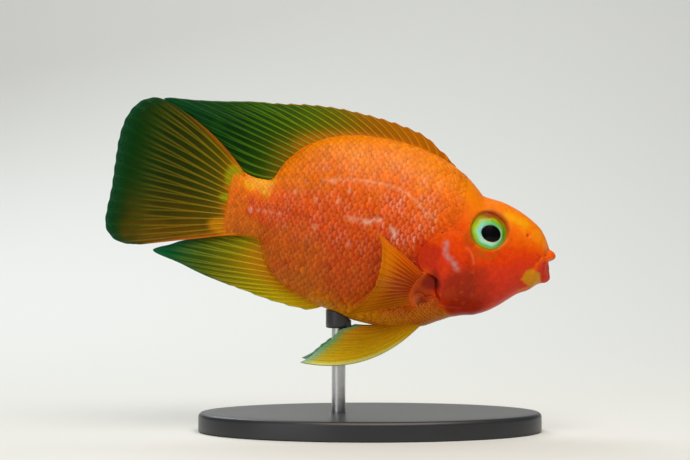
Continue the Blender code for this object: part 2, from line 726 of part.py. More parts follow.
def pelvic_fin(name, side, collection, material):
    columns, on_ray = ray_columns(PELVIC_RAYS)
    x = PELVIC_ROOT_X[0] + (PELVIC_ROOT_X[1] - PELVIC_ROOT_X[0]) * columns
    y = PELVIC_ROOT_Y[0] + (PELVIC_ROOT_Y[1] - PELVIC_ROOT_Y[0]) * columns
    root = np.stack([x, y, underside(x, y) - PELVIC_CLEARANCE], axis=-1)
    flat_tip = smooth_path(PELVIC_RIM)(columns)
    spread = PELVIC_SPREAD[0] + (PELVIC_SPREAD[1] - PELVIC_SPREAD[0]) * columns**0.8
    tip = np.stack([flat_tip[:, 0], spread, flat_tip[:, 1]], axis=-1)
    bow = PELVIC_BOW[0] + (PELVIC_BOW[1] - PELVIC_BOW[0]) * columns**0.7
    t = np.linspace(0, 1, FIN_ROWS + 1)[None, :, None] ** 1.1
    middle = root[:, None, :] * (1 - t) + tip[:, None, :] * t
    span = tip - root
    beside = np.stack([span[:, 2], 0 * x, -span[:, 0]], axis=-1)
    beside /= np.linalg.norm(beside, axis=1, keepdims=True)
    middle = middle - beside[:, None, :] * bow[:, None, None] * 4 * t * (1 - t)
    return fin_object(
        name, mirrored(middle, side), columns, on_ray, PELVIC_ROOT, collection, material
    )


def lobe_frame():
    """Middle of the left pectoral lobe, and its three axes: ahead, out and up."""
    x, z = (np.array([value * MM]) for value in PECTORAL_LOBE)
    middle, out = (value[0] for value in on_flank(x, z, np.array([-PECTORAL_LOBE_SINK])))
    ahead = np.cross(out, [0, 0, 1])
    ahead /= np.linalg.norm(ahead)
    return middle, np.stack([ahead, out, np.cross(ahead, out)])


def pectoral_lobe(side, collection):
    """The fleshy pad that the pectoral fin grows from, joined to the trunk."""
    middle, axes = lobe_frame()

    def pad(form):
        bmesh.ops.create_uvsphere(form, u_segments=16, v_segments=10, radius=1)
        for vert in form.verts:
            local = np.array(vert.co) * PECTORAL_LOBE_SIZE
            vert.co = (middle + local @ axes) * [1, side, 1]
        bmesh.ops.recalc_face_normals(form, faces=form.faces)

    return add_object(f"lobe_{side}", pad, collection)


def pectoral_fin(name, side, collection, material):
    columns, on_ray = ray_columns(PECTORAL_RAYS)
    middle, axes = lobe_frame()
    angle = PECTORAL_ROOT_ANGLES[0] + (PECTORAL_ROOT_ANGLES[1] - PECTORAL_ROOT_ANGLES[0]) * columns
    level = math.cos(PECTORAL_ROOT_LATITUDE)
    ball = np.stack(
        [-level * np.cos(angle), 0 * angle + math.sin(PECTORAL_ROOT_LATITUDE), level * np.sin(angle)],
        axis=-1,
    )
    away = ball / PECTORAL_LOBE_SIZE
    away /= np.linalg.norm(away, axis=1, keepdims=True)
    root = middle + (ball * PECTORAL_LOBE_SIZE + PECTORAL_CLEARANCE * away) @ axes
    rim = smooth_path(PECTORAL_RIM)(columns)
    reach = smooth_line([(a * 1000, b) for a, b in PECTORAL_REACH])(columns)
    tip = np.stack([rim[:, 0], reach, rim[:, 1]], axis=-1)
    t = np.linspace(0, 1, FIN_ROWS + 1)[None, :, None] ** 1.1
    middle = root[:, None, :] * (1 - t) + tip[:, None, :] * t
    middle[..., 1] += PECTORAL_BOW * 4 * (t * (1 - t))[..., 0]
    return fin_object(
        name, mirrored(middle, side), columns, on_ray, PECTORAL_ROOT, collection, material
    )


# The stand

def to_world(x, z):
    """World X and Z of a point in the fish's side view."""
    turned_x = x * math.cos(NOSE_DOWN) + z * math.sin(NOSE_DOWN)
    return turned_x, FISH_HEIGHT + z * math.cos(NOSE_DOWN) - x * math.sin(NOSE_DOWN)


def upright_cylinder(name, radius, low, high, at_x, collection, material, segments=24):
    def body(form):
        bmesh.ops.create_cone(
            form, cap_ends=True, segments=segments, radius1=radius, radius2=radius,
            depth=high - low,
        )

    obj = add_object(name, body, collection, material)
    obj.location = (at_x, 0, (low + high) / 2)
    return obj


def make_stand(collection, cutters, fish, steel, charcoal):
    rod_x, belly_z = to_world(ROD_X, belly(ROD_X))
    grown_trunk = add_object(
        "saddle_cutter", lambda form: loft(form, trunk_rings(SADDLE_CLEARANCE)), cutters
    )
    hide_cutter(grown_trunk).parent = fish
    saddle_low = belly_z - SADDLE_HEIGHT
    saddle = upright_cylinder(
        "stand_saddle", SADDLE_RADIUS, saddle_low, belly_z + SADDLE_HORNS, rod_x, collection,
        charcoal,
    )
    cut_with(saddle, cutters)
    upright_cylinder(
        "stand_rod", ROD_RADIUS, BASE_THICKNESS + JOINT_GAP, saddle_low - JOINT_GAP, rod_x,
        collection, steel,
    )

    def oval(form):
        shape = Matrix.Diagonal([BASE_LENGTH / 2, BASE_WIDTH / 2, 1, 1])
        bmesh.ops.create_cone(
            form, cap_ends=True, segments=BASE_SEGMENTS, radius1=1, radius2=1,
            depth=BASE_THICKNESS, matrix=shape,
        )

    base = add_object("stand_base", oval, collection, charcoal)
    base.location = (0, 0, BASE_THICKNESS / 2)
    edge = base.modifiers.new("edge", "BEVEL")
    edge.width = BASE_EDGE
    edge.segments = 2
    edge.limit_method = "ANGLE"
    edge.angle_limit = math.radians(60)


def main():
    for obj in list(bpy.data.objects):
        bpy.data.objects.remove(obj)
    collection = new_collection("blood_parrot_cichlid")
    head_cutters = new_collection("head_cutters")
    trunk_cutters = new_collection("trunk_cutters")
    stand_cutters = new_collection("stand_cutters")

    skin = make_material("scaled_skin", SKIN_ORANGE, 0.38)
    head_skin = make_material("head_skin", HEAD_ORANGE, 0.32)
    cover_skin = make_material("gill_cover_skin", COVER_RED, 0.32)
    amber = make_material("amber_fin", FIN_AMBER, 0.4)
    olive = make_material("olive_fin", TAIL_OLIVE, 0.4)
    lime = make_material("eye", EYE_LIME, 0.1)
    steel = make_material("brushed_steel", ROD_STEEL, 0.3, 1.0)
    charcoal = make_material("charcoal_lacquer", BASE_CHARCOAL, 0.35)

    fish = bpy.data.objects.new("fish_axis", None)
    collection.objects.link(fish)
    fish.location = (0, 0, FISH_HEIGHT)
    fish.rotation_euler = (0, NOSE_DOWN, 0)

    head = add_object("head", lambda form: loft(form, head_rings()), collection, head_skin)
    trunk = add_object("trunk", lambda form: loft(form, trunk_rings()), collection, skin)
    rims, lobes = new_collection("rims"), new_collection("lobes")
    for side in SIDES.values():
        orbit_ring(side, rims)
        pectoral_lobe(side, lobes)
    join_and_apply(head, rims)
    join_and_apply(trunk, lobes)
    tail = add_object("tail", lambda form: loft(form, tail_rings()), collection, skin)
    pieces = [head, trunk, tail]

    cutters = []
    for side in SIDES.values():
        pocket = gill_pocket(side, head_cutters)
        trunk_cutters.objects.link(pocket)
        cutters += [
            pocket,
            socket_cutter(side, head_cutters),
            nostril_cutter(side, head_cutters),
            fold_cutter(side, head_cutters),
            gill_opening_cutter(side, trunk_cutters),
        ]
    cut_with(head, head_cutters)
    cut_with(trunk, trunk_cutters)

    for word, side in SIDES.items():
        pieces += [
            gill_cover(f"gill_cover_{word}", side, collection, cover_skin),
            make_eye(f"eye_{word}", side, collection, lime),
            pectoral_fin(f"pectoral_fin_{word}", side, collection, amber),
            pelvic_fin(f"pelvic_fin_{word}", side, collection, amber),
        ]
    pieces += [
        dorsal_fin(collection, olive),
        anal_fin(collection, olive),
        caudal_fin(collection, olive),
    ]
    for obj in pieces + cutters:
        obj.parent = fish
    make_stand(collection, stand_cutters, fish, steel, charcoal)


main()
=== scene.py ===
"""Looks for a still, life-size blood parrot cichlid on a plain display stand.

The sections follow the model as it is put together: display base, flesh, gill covers, scales,
eyes, fins, rod and saddle, and last the room it stands in. Fish pieces are worked out in
millimetres in the fish's own frame (x to its mouth, y to its left, z to its back) and carried to
the room, in metres, as they are made.
"""

import math

import bpy
import numpy as np
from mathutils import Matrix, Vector


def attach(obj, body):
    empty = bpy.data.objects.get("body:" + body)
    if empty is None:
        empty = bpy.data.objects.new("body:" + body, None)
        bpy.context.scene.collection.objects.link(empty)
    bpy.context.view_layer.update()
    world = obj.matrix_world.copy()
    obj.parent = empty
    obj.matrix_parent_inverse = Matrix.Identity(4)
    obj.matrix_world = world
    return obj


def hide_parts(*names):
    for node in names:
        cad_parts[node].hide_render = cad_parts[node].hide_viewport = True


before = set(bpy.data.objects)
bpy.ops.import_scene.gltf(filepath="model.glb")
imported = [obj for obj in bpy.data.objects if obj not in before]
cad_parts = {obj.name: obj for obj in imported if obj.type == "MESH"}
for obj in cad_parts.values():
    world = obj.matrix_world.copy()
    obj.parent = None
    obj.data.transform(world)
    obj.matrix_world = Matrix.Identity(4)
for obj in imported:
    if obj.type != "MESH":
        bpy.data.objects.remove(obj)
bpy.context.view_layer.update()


# The display base: an oval foot cast in resin and sprayed with satin charcoal lacquer. It lies
# flat on the floor, its top edge rounded over, and the rod is let into it.
BASE_LENGTH, BASE_WIDTH, BASE_THICKNESS = 0.124, 0.078, 0.007
BASE_EDGE = 0.0016


def linear(colour):
    """An sRGB hex colour as linear red, green, blue and 1, by the sRGB curve."""
    c = np.array([int(colour[k : k + 2], 16) for k in (1, 3, 5)]) / 255
    return (*np.where(c <= 0.04045, c / 12.92, ((c + 0.055) / 1.055) ** 2.4), 1.0)


def tube(rings):
    """Points and faces of a closed skin over rings (n, m, 3): quads, and a fan at each end."""
    count, around = rings.shape[:2]
    ring = np.arange(count * around).reshape(count, around)
    after = np.roll(ring, -1, axis=1)
    quads = np.stack([ring[:-1], after[:-1], after[1:], ring[1:]], -1).reshape(-1, 4)
    ends = np.stack([rings[0].mean(axis=0), rings[-1].mean(axis=0)])
    tips = np.full(around, ring.size)
    fans = [np.stack([after[0], ring[0], tips], -1), np.stack([ring[-1], after[-1], tips + 1], -1)]
    return np.vstack([rings.reshape(-1, 3), ends]), [quads, *fans]


def put_mesh(name, points, faces, material, colours=None, sharp=None):
    """A smooth-shaded closed mesh from points and arrays of quads and triangles.

    Its faces are all turned over where the sum of their volumes to the origin is negative.
    Linear colours, one a point, become the attribute that the materials read.
    """
    volume = 0.0
    for group in faces:
        first, rest = points[group[:, 0]], points[group]
        for k in range(1, group.shape[1] - 1):
            volume += (first * np.cross(rest[:, k], rest[:, k + 1])).sum()
    groups = [group[:, ::-1] if volume < 0 else group for group in faces]
    corners = np.concatenate([group.ravel() for group in groups])
    sizes = np.concatenate([np.full(len(group), group.shape[1]) for group in groups])
    mesh = bpy.data.meshes.new(name)
    mesh.vertices.add(len(points))
    mesh.vertices.foreach_set("co", points.ravel())
    mesh.loops.add(len(corners))
    mesh.loops.foreach_set("vertex_index", corners)
    mesh.polygons.add(len(sizes))
    mesh.polygons.foreach_set("loop_start", np.cumsum(sizes) - sizes)
    mesh.update(calc_edges=True)
    mesh.shade_smooth()
    if sharp:
        mesh.set_sharp_from_angle(angle=math.radians(sharp))
    if colours is not None:
        rgba = np.ones((len(points), 4), np.float32)
        rgba[:, : colours.shape[1]] = colours
        layer = mesh.attributes.new("markings", "FLOAT_COLOR", "POINT")
        layer.data.foreach_set("color", rgba.ravel())
    mesh.materials.append(material)
    piece = bpy.data.objects.new(name, mesh)
    bpy.context.scene.collection.objects.link(piece)
    return piece


def feed(node, links):
    """Links an output into each named input of a node."""
    for key, source in dict(links).items():
        node.id_data.links.new(source, node.inputs[key])


def add(tree, kind, settings=(), links=(), out=0):
    """Adds a shader node and gives one output: settings are properties or socket values."""
    made = tree.nodes.new("ShaderNode" + kind)
    for key, value in dict(settings).items():
        if isinstance(key, int) or key in made.inputs:
            made.inputs[key].default_value = value
        else:
            setattr(made, key, value)
    feed(made, links)
    return made.outputs[out]


def noise(tree, scale, detail, roughness=0.5):
    """Noise from 0 to 1 that is fixed to the piece, with scale waves a metre."""
    spot = add(tree, "TexCoord", out="Object")
    settings = {"Scale": scale, "Detail": detail, "Roughness": roughness}
    return add(tree, "TexNoise", settings, {"Vector": spot})


def bump(tree, strength, depth, height):
    """A normal raised by a height from 0 to 1, which stands for depth metres."""
    return add(tree, "Bump", {"Strength": strength, "Distance": depth}, {"Height": height})


def new_material(name, settings):
    """An empty material with one Principled shader: itself, its tree and the shader."""
    material = bpy.data.materials.new(name)
    material.use_nodes = True
    shader = material.node_tree.nodes["Principled BSDF"]
    for key, value in settings.items():
        shader.inputs[key].default_value = value
    return material, material.node_tree, shader


def full_turn(count):
    """Angles evenly round a circle, the last one short of the first."""
    return np.linspace(0, 2 * math.pi, count, endpoint=False)


def level_ring(middle, reach, across, height, turn):
    """An oval of points round the upright through (middle, 0): radii reach and across."""
    return np.stack([middle + reach * np.cos(turn), across * np.sin(turn), height + 0 * turn], -1)


corner = np.linspace(0, math.pi / 2, 7)
inset = [BASE_LENGTH, 0.004, 0.0005, 0.0, *(BASE_EDGE * (1 - np.cos(corner))), 0.006, BASE_LENGTH]
rounded = BASE_THICKNESS - BASE_EDGE + BASE_EDGE * np.sin(corner)
height = [0, 0, 0, 0.0005, *rounded, BASE_THICKNESS, BASE_THICKNESS]
rings = []
for edge, level in zip(inset, height):
    reach, across = (max(size / 2 - edge, 0.001) for size in (BASE_LENGTH, BASE_WIDTH))
    rings.append(level_ring(0, reach, across, level, full_turn(144)))

# Satin lacquer sprayed on cast resin: even, nearly black, with a faint orange peel.
lacquer, tree, shader = new_material("charcoal_lacquer", {"Roughness": 0.36, "IOR": 1.5})
greys = {"data_type": "RGBA", 6: linear("#26272a"), 7: linear("#313236")}
shade = add(tree, "Mix", greys, {0: noise(tree, 60.0, 4.0)}, out=2)
feed(shader, {"Base Color": shade, "Normal": bump(tree, 0.25, 0.00004, noise(tree, 1400.0, 2.0))})

base = put_mesh("display_base", *tube(np.stack(rings)), lacquer, sharp=40)
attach(base, "root")
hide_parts("stand_base")


# The flesh: head, trunk and tail as one body under one skin, as cast in one piece. Everything
# else on the fish grows from it or lies on it.
NOSE_DOWN = math.radians(10)
FISH_HEIGHT = 72.0
COAT_DEPTH, COVER_BED_DEPTH = 0.24, 1.15
EYE_SOCKET, EYE_SOCKET_DEPTH = (4.0, 7.2), 4.8
EYE_EDGE = 6.9
TAIL_SWING, SWING_START, TAIL_TIP = 7.0, -10.0, -94.5

BACK_LINE = [
    (-53, 14.2), (-48.5, 13.4), (-46, 12.5), (-43, 12.0), (-40, 12.0), (-38, 12.6), (-37, 14.2),
    (-36, 16.6), (-34.5, 19.4), (-32, 22.8), (-29, 25.8), (-25, 28.6), (-20, 31.1),
    (-14, 32.9), (-7, 33.9), (0, 34.1), (8, 33.6), (15, 32.5), (20, 31.1), (25, 29.1),
    (32, 25.2), (36, 21.9), (38.3, 19.9), (40, 19.6), (45, 19.0), (50, 17.6), (55, 15.4),
    (60, 12.3), (62.3, 9.9), (64, 7.4),
]
BELLY_LINE = [
    (-53, -10.4), (-48.5, -9.9), (-45, -9.3), (-41, -9.4), (-38.6, -10.4), (-37.2, -13.2),
    (-35.5, -17), (-32.5, -21), (-28, -24.2), (-22, -26.8), (-16, -28.7), (-10, -30.1),
    (-5, -31.4), (0, -32.3), (6, -32.7), (12, -32.5), (18, -31.6), (24, -30.3), (30, -27.2),
    (35, -24.8), (38, -23.8), (42, -22.9), (46, -21.1), (50, -18.3), (53, -15.6), (56, -13),
    (60, -10.7), (62, -8.9), (64, -7.5),
]
HALF_WIDTH = [
    (-53, 0.5), (-51, 1.4), (-48.5, 2.3), (-44, 3.6), (-38, 5.6), (-30, 8.8), (-20, 12.2),
    (-10, 14.6), (0, 16.0), (10, 16.6), (20, 16.4), (30, 15.4), (40, 13.5), (50, 10.8),
    (57, 8.4), (61, 6.8), (64, 5.7),
]
WIDEST_LEVEL = [(-53, 1.7), (-30, 0.5), (0, -1.5), (25, -4.5), (45, -2.5), (58, 0), (64, -0.4)]
BACK_ROUNDNESS, BELLY_ROUNDNESS, CORNER_DRAW = 1.95, 2.25, 1.2
COLLAR_LINE = [
    (-34, 40.5), (-30, 39.8), (-26, 37.6), (-22, 31.5), (-17, 26.6), (-11, 24.4), (-4, 24.2),
    (3, 26.8), (9, 30.6), (15, 34.2), (20, 38.0), (25, 39.5), (36, 40.5),
]
COVER_FRONT = [(-22, 39.6), (-16, 41), (-9, 40), (-2, 38), (3, 35.6), (6.5, 33.6)]
COVER_HIND = [
    (-22, 31), (-19.5, 28.8), (-16.5, 27.7), (-13.5, 27.2), (-12, 26.2), (-11, 23.6),
    (-10.2, 20.8), (-8.5, 19.0), (-6, 18.4), (-3, 19), (1, 21.8), (4, 25.6), (6.5, 31),
]
COVER_BOTTOM, COVER_TOP = -22.0, 6.5
LOBE = [(21.6, -10.6), (19.0, -13.6), (17.5, -17.0), (17.2, -20.0), (18.8, -22.8)]
GILL_HOLLOW, GILL_HOLLOW_SIZE = (23.6, -16.0), (4.4, 5.6)
EYE = (41.6, 7.8)
# Each row of the lips: the ring's top, its corner at the side, its bottom, and its half width.
LIP_ROWS = [
    (62.7, 9.2, 62.6, -0.3, 62.6, -8.35, 6.1),
    (64.1, 6.9, 63.2, -0.5, 64.0, -7.6, 5.4),
    (65.0, 5.15, 63.0, -0.6, 64.9, -7.35, 4.9),
    (65.8, 4.75, 63.2, -0.6, 65.6, -7.1, 4.95),
    (66.9, 4.2, 63.8, -0.6, 66.3, -6.6, 4.75),
    (67.65, 3.15, 64.2, -0.7, 66.9, -5.8, 4.2),
    (67.55, 2.1, 64.5, -0.8, 67.0, -5.2, 3.6),
    (66.7, 1.25, 64.6, -1.0, 66.95, -4.8, 3.15),
    (65.6, 0.7, 64.8, -1.2, 66.85, -4.4, 2.8),
    (65.6, 0.0, 65.2, -1.6, 66.7, -3.9, 2.3),
    (65.9, -0.9, 65.8, -2.0, 66.5, -3.3, 1.4),
    (66.15, -1.9, 66.2, -2.3, 66.3, -2.7, 0.4),
]
LIP_START = 61.2


def in_place(points):
    """From the fish's frame in mm to the room in m: turned nose down about y, then lifted."""
    x, y, z = np.moveaxis(np.asarray(points, float), -1, 0)
    cos, sin = math.cos(NOSE_DOWN), math.sin(NOSE_DOWN)
    return np.stack([x * cos + z * sin, y, z * cos - x * sin + FISH_HEIGHT], -1) * 0.001


def cubic(t, start, end, start_slope, end_slope):
    """A cubic in t from 0 to 1 with given ends and end slopes."""
    ends = start * (1 + 2 * t) * (1 - t) ** 2 + end * t * t * (3 - 2 * t)
    return ends + start_slope * t * (1 - t) ** 2 - end_slope * t * t * (1 - t)


def line_through(points):
    """Value by place: cubic pieces whose slopes are harmonic means, so that none overshoots."""
    known, value = np.array(points, float).T
    step = np.diff(known)
    rise = np.diff(value) / step
    same_way = rise[:-1] * rise[1:] > 0
    harmonic = 2 * rise[:-1] * rise[1:] / np.where(same_way, rise[:-1] + rise[1:], 1)
    slope = np.concatenate([rise[:1], np.where(same_way, harmonic, 0), rise[-1:]])

    def at(query):
        query = np.asarray(query, float)
        k = np.clip(np.searchsorted(known, query) - 1, 0, len(step) - 1)
        t = np.clip((query - known[k]) / step[k], 0, 1)
        return cubic(t, value[k], value[k + 1], step[k] * slope[k], step[k] * slope[k + 1])

    return at


def path_through(points):
    """A smooth path through points of any dimension, by even share of its length."""
    knots = np.array(points, float)
    ahead = np.vstack([2 * knots[0] - knots[1], knots, 2 * knots[-1] - knots[-2]])
    lean = (ahead[2:] - ahead[:-2]) / 2
    t = np.linspace(0, 1, 24, endpoint=False)[:, None]
    dense = [cubic(t, *knots[k : k + 2], *lean[k : k + 2]) for k in range(len(knots) - 1)]
    dense = np.vstack([*dense, knots[-1:]])
    run = np.concatenate([[0], np.cumsum(np.linalg.norm(np.diff(dense, axis=0), axis=1))])

    def at(share):
        return np.stack([np.interp(share, run / run[-1], column) for column in dense.T], -1)

    return at


def ramp(value, low, high):
    """0 below low, 1 above high, and the smooth step 3t^2 - 2t^3 between."""
    t = np.clip((value - low) / (high - low), 0, 1)
    return t * t * (3 - 2 * t)


def bell(value, width):
    """1 at 0, falling off to both sides by exp(-(value / width)^2)."""
    return np.exp(-((value / width) ** 2))


def near(x, z, points, width):
    """A bell of that width across a smooth line in the side view, 1 on the line."""
    line = path_through(points)(np.linspace(0, 1, 40))
    low, high = line.min(axis=0) - 3 * width, line.max(axis=0) + 3 * width
    close = (x > low[0]) & (x < high[0]) & (z > low[1]) & (z < high[1])
    height = np.zeros(np.shape(x))
    apart = (x[close][:, None] - line[:, 0]) ** 2 + (z[close][:, None] - line[:, 1]) ** 2
    height[close] = np.exp(-apart.min(axis=1) / width**2)
    return height


def spot_at(x, z, middle, size):
    """A soft-edged oval in the side view: 1 well inside its half sizes, 0 outside them."""
    apart = ((x - middle[0]) / size[0]) ** 2 + ((z - middle[1]) / size[1]) ** 2
    return 1 - ramp(apart, 0.35, 1.3)


back, belly = line_through(BACK_LINE), line_through(BELLY_LINE)
half_width, widest_level = line_through(HALF_WIDTH), line_through(WIDEST_LEVEL)
collar = line_through(COLLAR_LINE)
cover_front, cover_hind = line_through(COVER_FRONT), line_through(COVER_HIND)


def swing(x):
    """How far the tail end is bent to the fish's right: a square law from its start."""
    share = np.clip((SWING_START - x) / (SWING_START - TAIL_TIP), 0, None)
    return -TAIL_SWING * share**2


def flank(x, z):
    """Half the body's width at x and z: a superellipse between the back and belly lines."""
    level = widest_level(x)
    height = np.where(z > level, back(x) - level, level - belly(x))
    power = np.where(z > level, BACK_ROUNDNESS, BELLY_ROUNDNESS)
    share = np.clip(np.abs(z - level) / height, 0, 1)
    return half_width(x) * (1 - share**power) ** (1 / power)


def on_flank(x, z, lift=0.0):
    """Points on the left flank raised by lift along the normal (-dY/dx, 1, -dY/dz)."""
    reach = 0.2
    across = (flank(x + reach, z) - flank(x - reach, z)) / (2 * reach)
    upward = (flank(x, z + reach) - flank(x, z - reach)) / (2 * reach)
    normal = np.stack([-across, np.ones_like(across), -upward], -1)
    normal /= np.linalg.norm(normal, axis=-1, keepdims=True)
    point = np.stack([x, flank(x, z), z], -1)
    return point + normal * np.asarray(lift)[..., None], normal


def body_rows(x):
    """Ring rows at plain sections of the body: top, corner, bottom, half width, roundnesses."""
    level = widest_level(x)
    rounds = [np.full_like(x, BACK_ROUNDNESS), np.full_like(x, BELLY_ROUNDNESS)]
    return np.stack([x, back(x), x, level, x, belly(x), half_width(x), *rounds], -1)


def ring_points(rows, angle):
    """Rings of the flesh: superellipses, drawn back at the corners by |cos|^CORNER_DRAW."""
    top_x, top_z, corner_x, corner_z, low_x, low_z, half, above, below = (
        rows[:, k, None] for k in range(9)
    )
    out, up = np.cos(angle), np.sin(angle)
    power = 2 / np.where(up > 0, above, below)
    end_x, end_z = np.where(up > 0, top_x, low_x), np.where(up > 0, top_z, low_z)
    x = end_x + (corner_x - end_x) * np.abs(out) ** CORNER_DRAW
    z = corner_z + (end_z - corner_z) * np.abs(up) ** power
    return np.stack([x, half * np.sign(out) * np.abs(out) ** power, z], -1)


def grid_normals(grid):
    """Outward unit normals of rings (n, m, 3) that run round the body."""
    along = np.gradient(grid, axis=0)
    around = np.roll(grid, -1, axis=1) - np.roll(grid, 1, axis=1)
    normal = np.cross(around, along)
    return normal / np.maximum(np.linalg.norm(normal, axis=-1, keepdims=True), 1e-9)


def scaled_share(x, z):
    """Where scales cover the skin: behind the collar, but not on the gill cleft or the lobe."""
    trunk = ramp(collar(z) - x, -2.2, 3.2)
    known = np.clip(z, COVER_BOTTOM, COVER_TOP)
    cleft = ramp(x - cover_hind(known), -2.2, -0.9) * ramp(z, -23.2, -21.6)
    lobe = ramp(near(x, z, LOBE, 2.0), 0.1, 0.6)
    hollow = spot_at(x, z, GILL_HOLLOW, GILL_HOLLOW_SIZE)
    return trunk * (1 - cleft) * (1 - lobe) * (1 - hollow)


MOUTH_CREASE = [(64.6, 2.9), (62.6, 2.2), (60.9, 0.4), (59.7, -1.8), (59.2, -4.2)]
JAW_BAND = [(65.6, 2.0), (63.6, 1.6), (62.0, 0.4), (60.9, -1.5), (60.3, -3.8)]
LIP_CREASE = [(63.9, 0.3), (62.6, -0.8), (62.0, -2.6), (62.6, -4.6), (63.9, -7.0)]
CHEEK_CREASE = [(34.6, 5.5), (36.4, 2.0), (38.3, -3.0), (39.9, -8.5), (40.9, -14), (40.0, -19)]
CHEEK_GLINT = [(34.4, 0.4), (36.0, -0.8), (37.3, -2.4), (38.0, -4.6)]
GILL_MEMBRANE = [(28.2, -19.6), (30.2, -22.6), (33.2, -24.6), (37.5, -25.2), (42, -24)]
PORES = [
    (45.5, -1.8), (49.0, -1.0), (52.4, 0.6), (47.5, 16.2), (52.2, 14.2), (43.5, -17), (48, -14),
]
NOSTRIL = (56.0, 8.6)


def relief(x, z):
    """How far the skin stands off the plain body: folds, pits and beds, in mm."""
    known = np.clip(z, COVER_BOTTOM, COVER_TOP)
    from_front, from_hind = cover_front(known) - x, x - cover_hind(known)
    bed = ramp(from_front, 0.8, 2.6) * ramp(from_hind, -1.7, -0.5)
    bed *= ramp(COVER_TOP - z, 0.6, 2.2) * ramp(z - COVER_BOTTOM, 0.4, 2.0)
    from_eye = np.hypot(x - EYE[0], z - EYE[1])
    from_nostril = np.hypot(x - NOSTRIL[0], z - NOSTRIL[1])
    lift = -COAT_DEPTH * scaled_share(x, z)
    lift -= COVER_BED_DEPTH * bed + EYE_SOCKET_DEPTH * (1 - ramp(from_eye, *EYE_SOCKET))
    lift += 0.1 * bell(from_eye - 8.2, 1.3)
    lift += 0.16 * bell(from_nostril - 1.1, 0.4) - 0.8 * bell(from_nostril, 0.55)
    for height, fold, width in (
        (1.25, LOBE, 1.5), (-0.26, MOUTH_CREASE, 0.5), (-0.2, LIP_CREASE, 0.5),
        (0.22, JAW_BAND, 0.9), (-0.22, CHEEK_CREASE, 0.7), (0.25, GILL_MEMBRANE, 1.2),
    ):
        lift += height * near(x, z, fold, width)
    cheek = (0.3, (47, -9), (9, 8))
    pores = [(-0.16, pore, (0.45, 0.45)) for pore in PORES]
    for height, *place in ((-0.75, GILL_HOLLOW, GILL_HOLLOW_SIZE), cheek, *pores):
        lift += height * spot_at(x, z, *place)
    return lift


def hex_rgb(colour):
    """An sRGB hex colour as three linear numbers."""
    return np.array(linear(colour)[:3])


def cut_patch(x, z, corners, blur):
    """A straight-sided patch with a soft edge: by the least distance inside its turned sides."""
    from_, to = np.array(corners, float), np.roll(np.array(corners, float), -1, axis=0)
    inside = np.full(np.shape(x), 99.0)
    for (ax, az), (bx, bz) in zip(from_, to):
        depth = ((bx - ax) * (z - az) - (bz - az) * (x - ax)) / math.hypot(bx - ax, bz - az)
        inside = np.minimum(inside, depth)
    return ramp(inside, -blur, blur)


def levels(value, known, colours):
    """Colour by value: straight between the known values' colours, given as words of hex."""
    rgb = np.array([hex_rgb(colour) for colour in colours.split()])
    return np.stack([np.interp(value, known, column) for column in rgb.T], -1)


def lay(paint, *coats):
    """Lays coats of (colour, share) over the paint in turn, as thickly as each share says."""
    for colour, share in coats:
        share = np.clip(share, 0, 1)[..., None]
        paint = paint * (1 - share) + hex_rgb(colour) * share
    return paint


def waves(x, z, seed, size):
    """Soft irregular blotches, mostly between -1 and 1: a sum of plane waves at seeded angles."""
    maker, count = np.random.default_rng(seed), 9
    angle, phase = maker.uniform(0, 2 * math.pi, (2, count))
    length = size * maker.uniform(0.7, 1.6, count)
    total = sum(
        np.sin((x * math.cos(a) + z * math.sin(a)) * 2 * math.pi / s + p)
        for a, p, s in zip(angle, phase, length)
    )
    return total / math.sqrt(count)


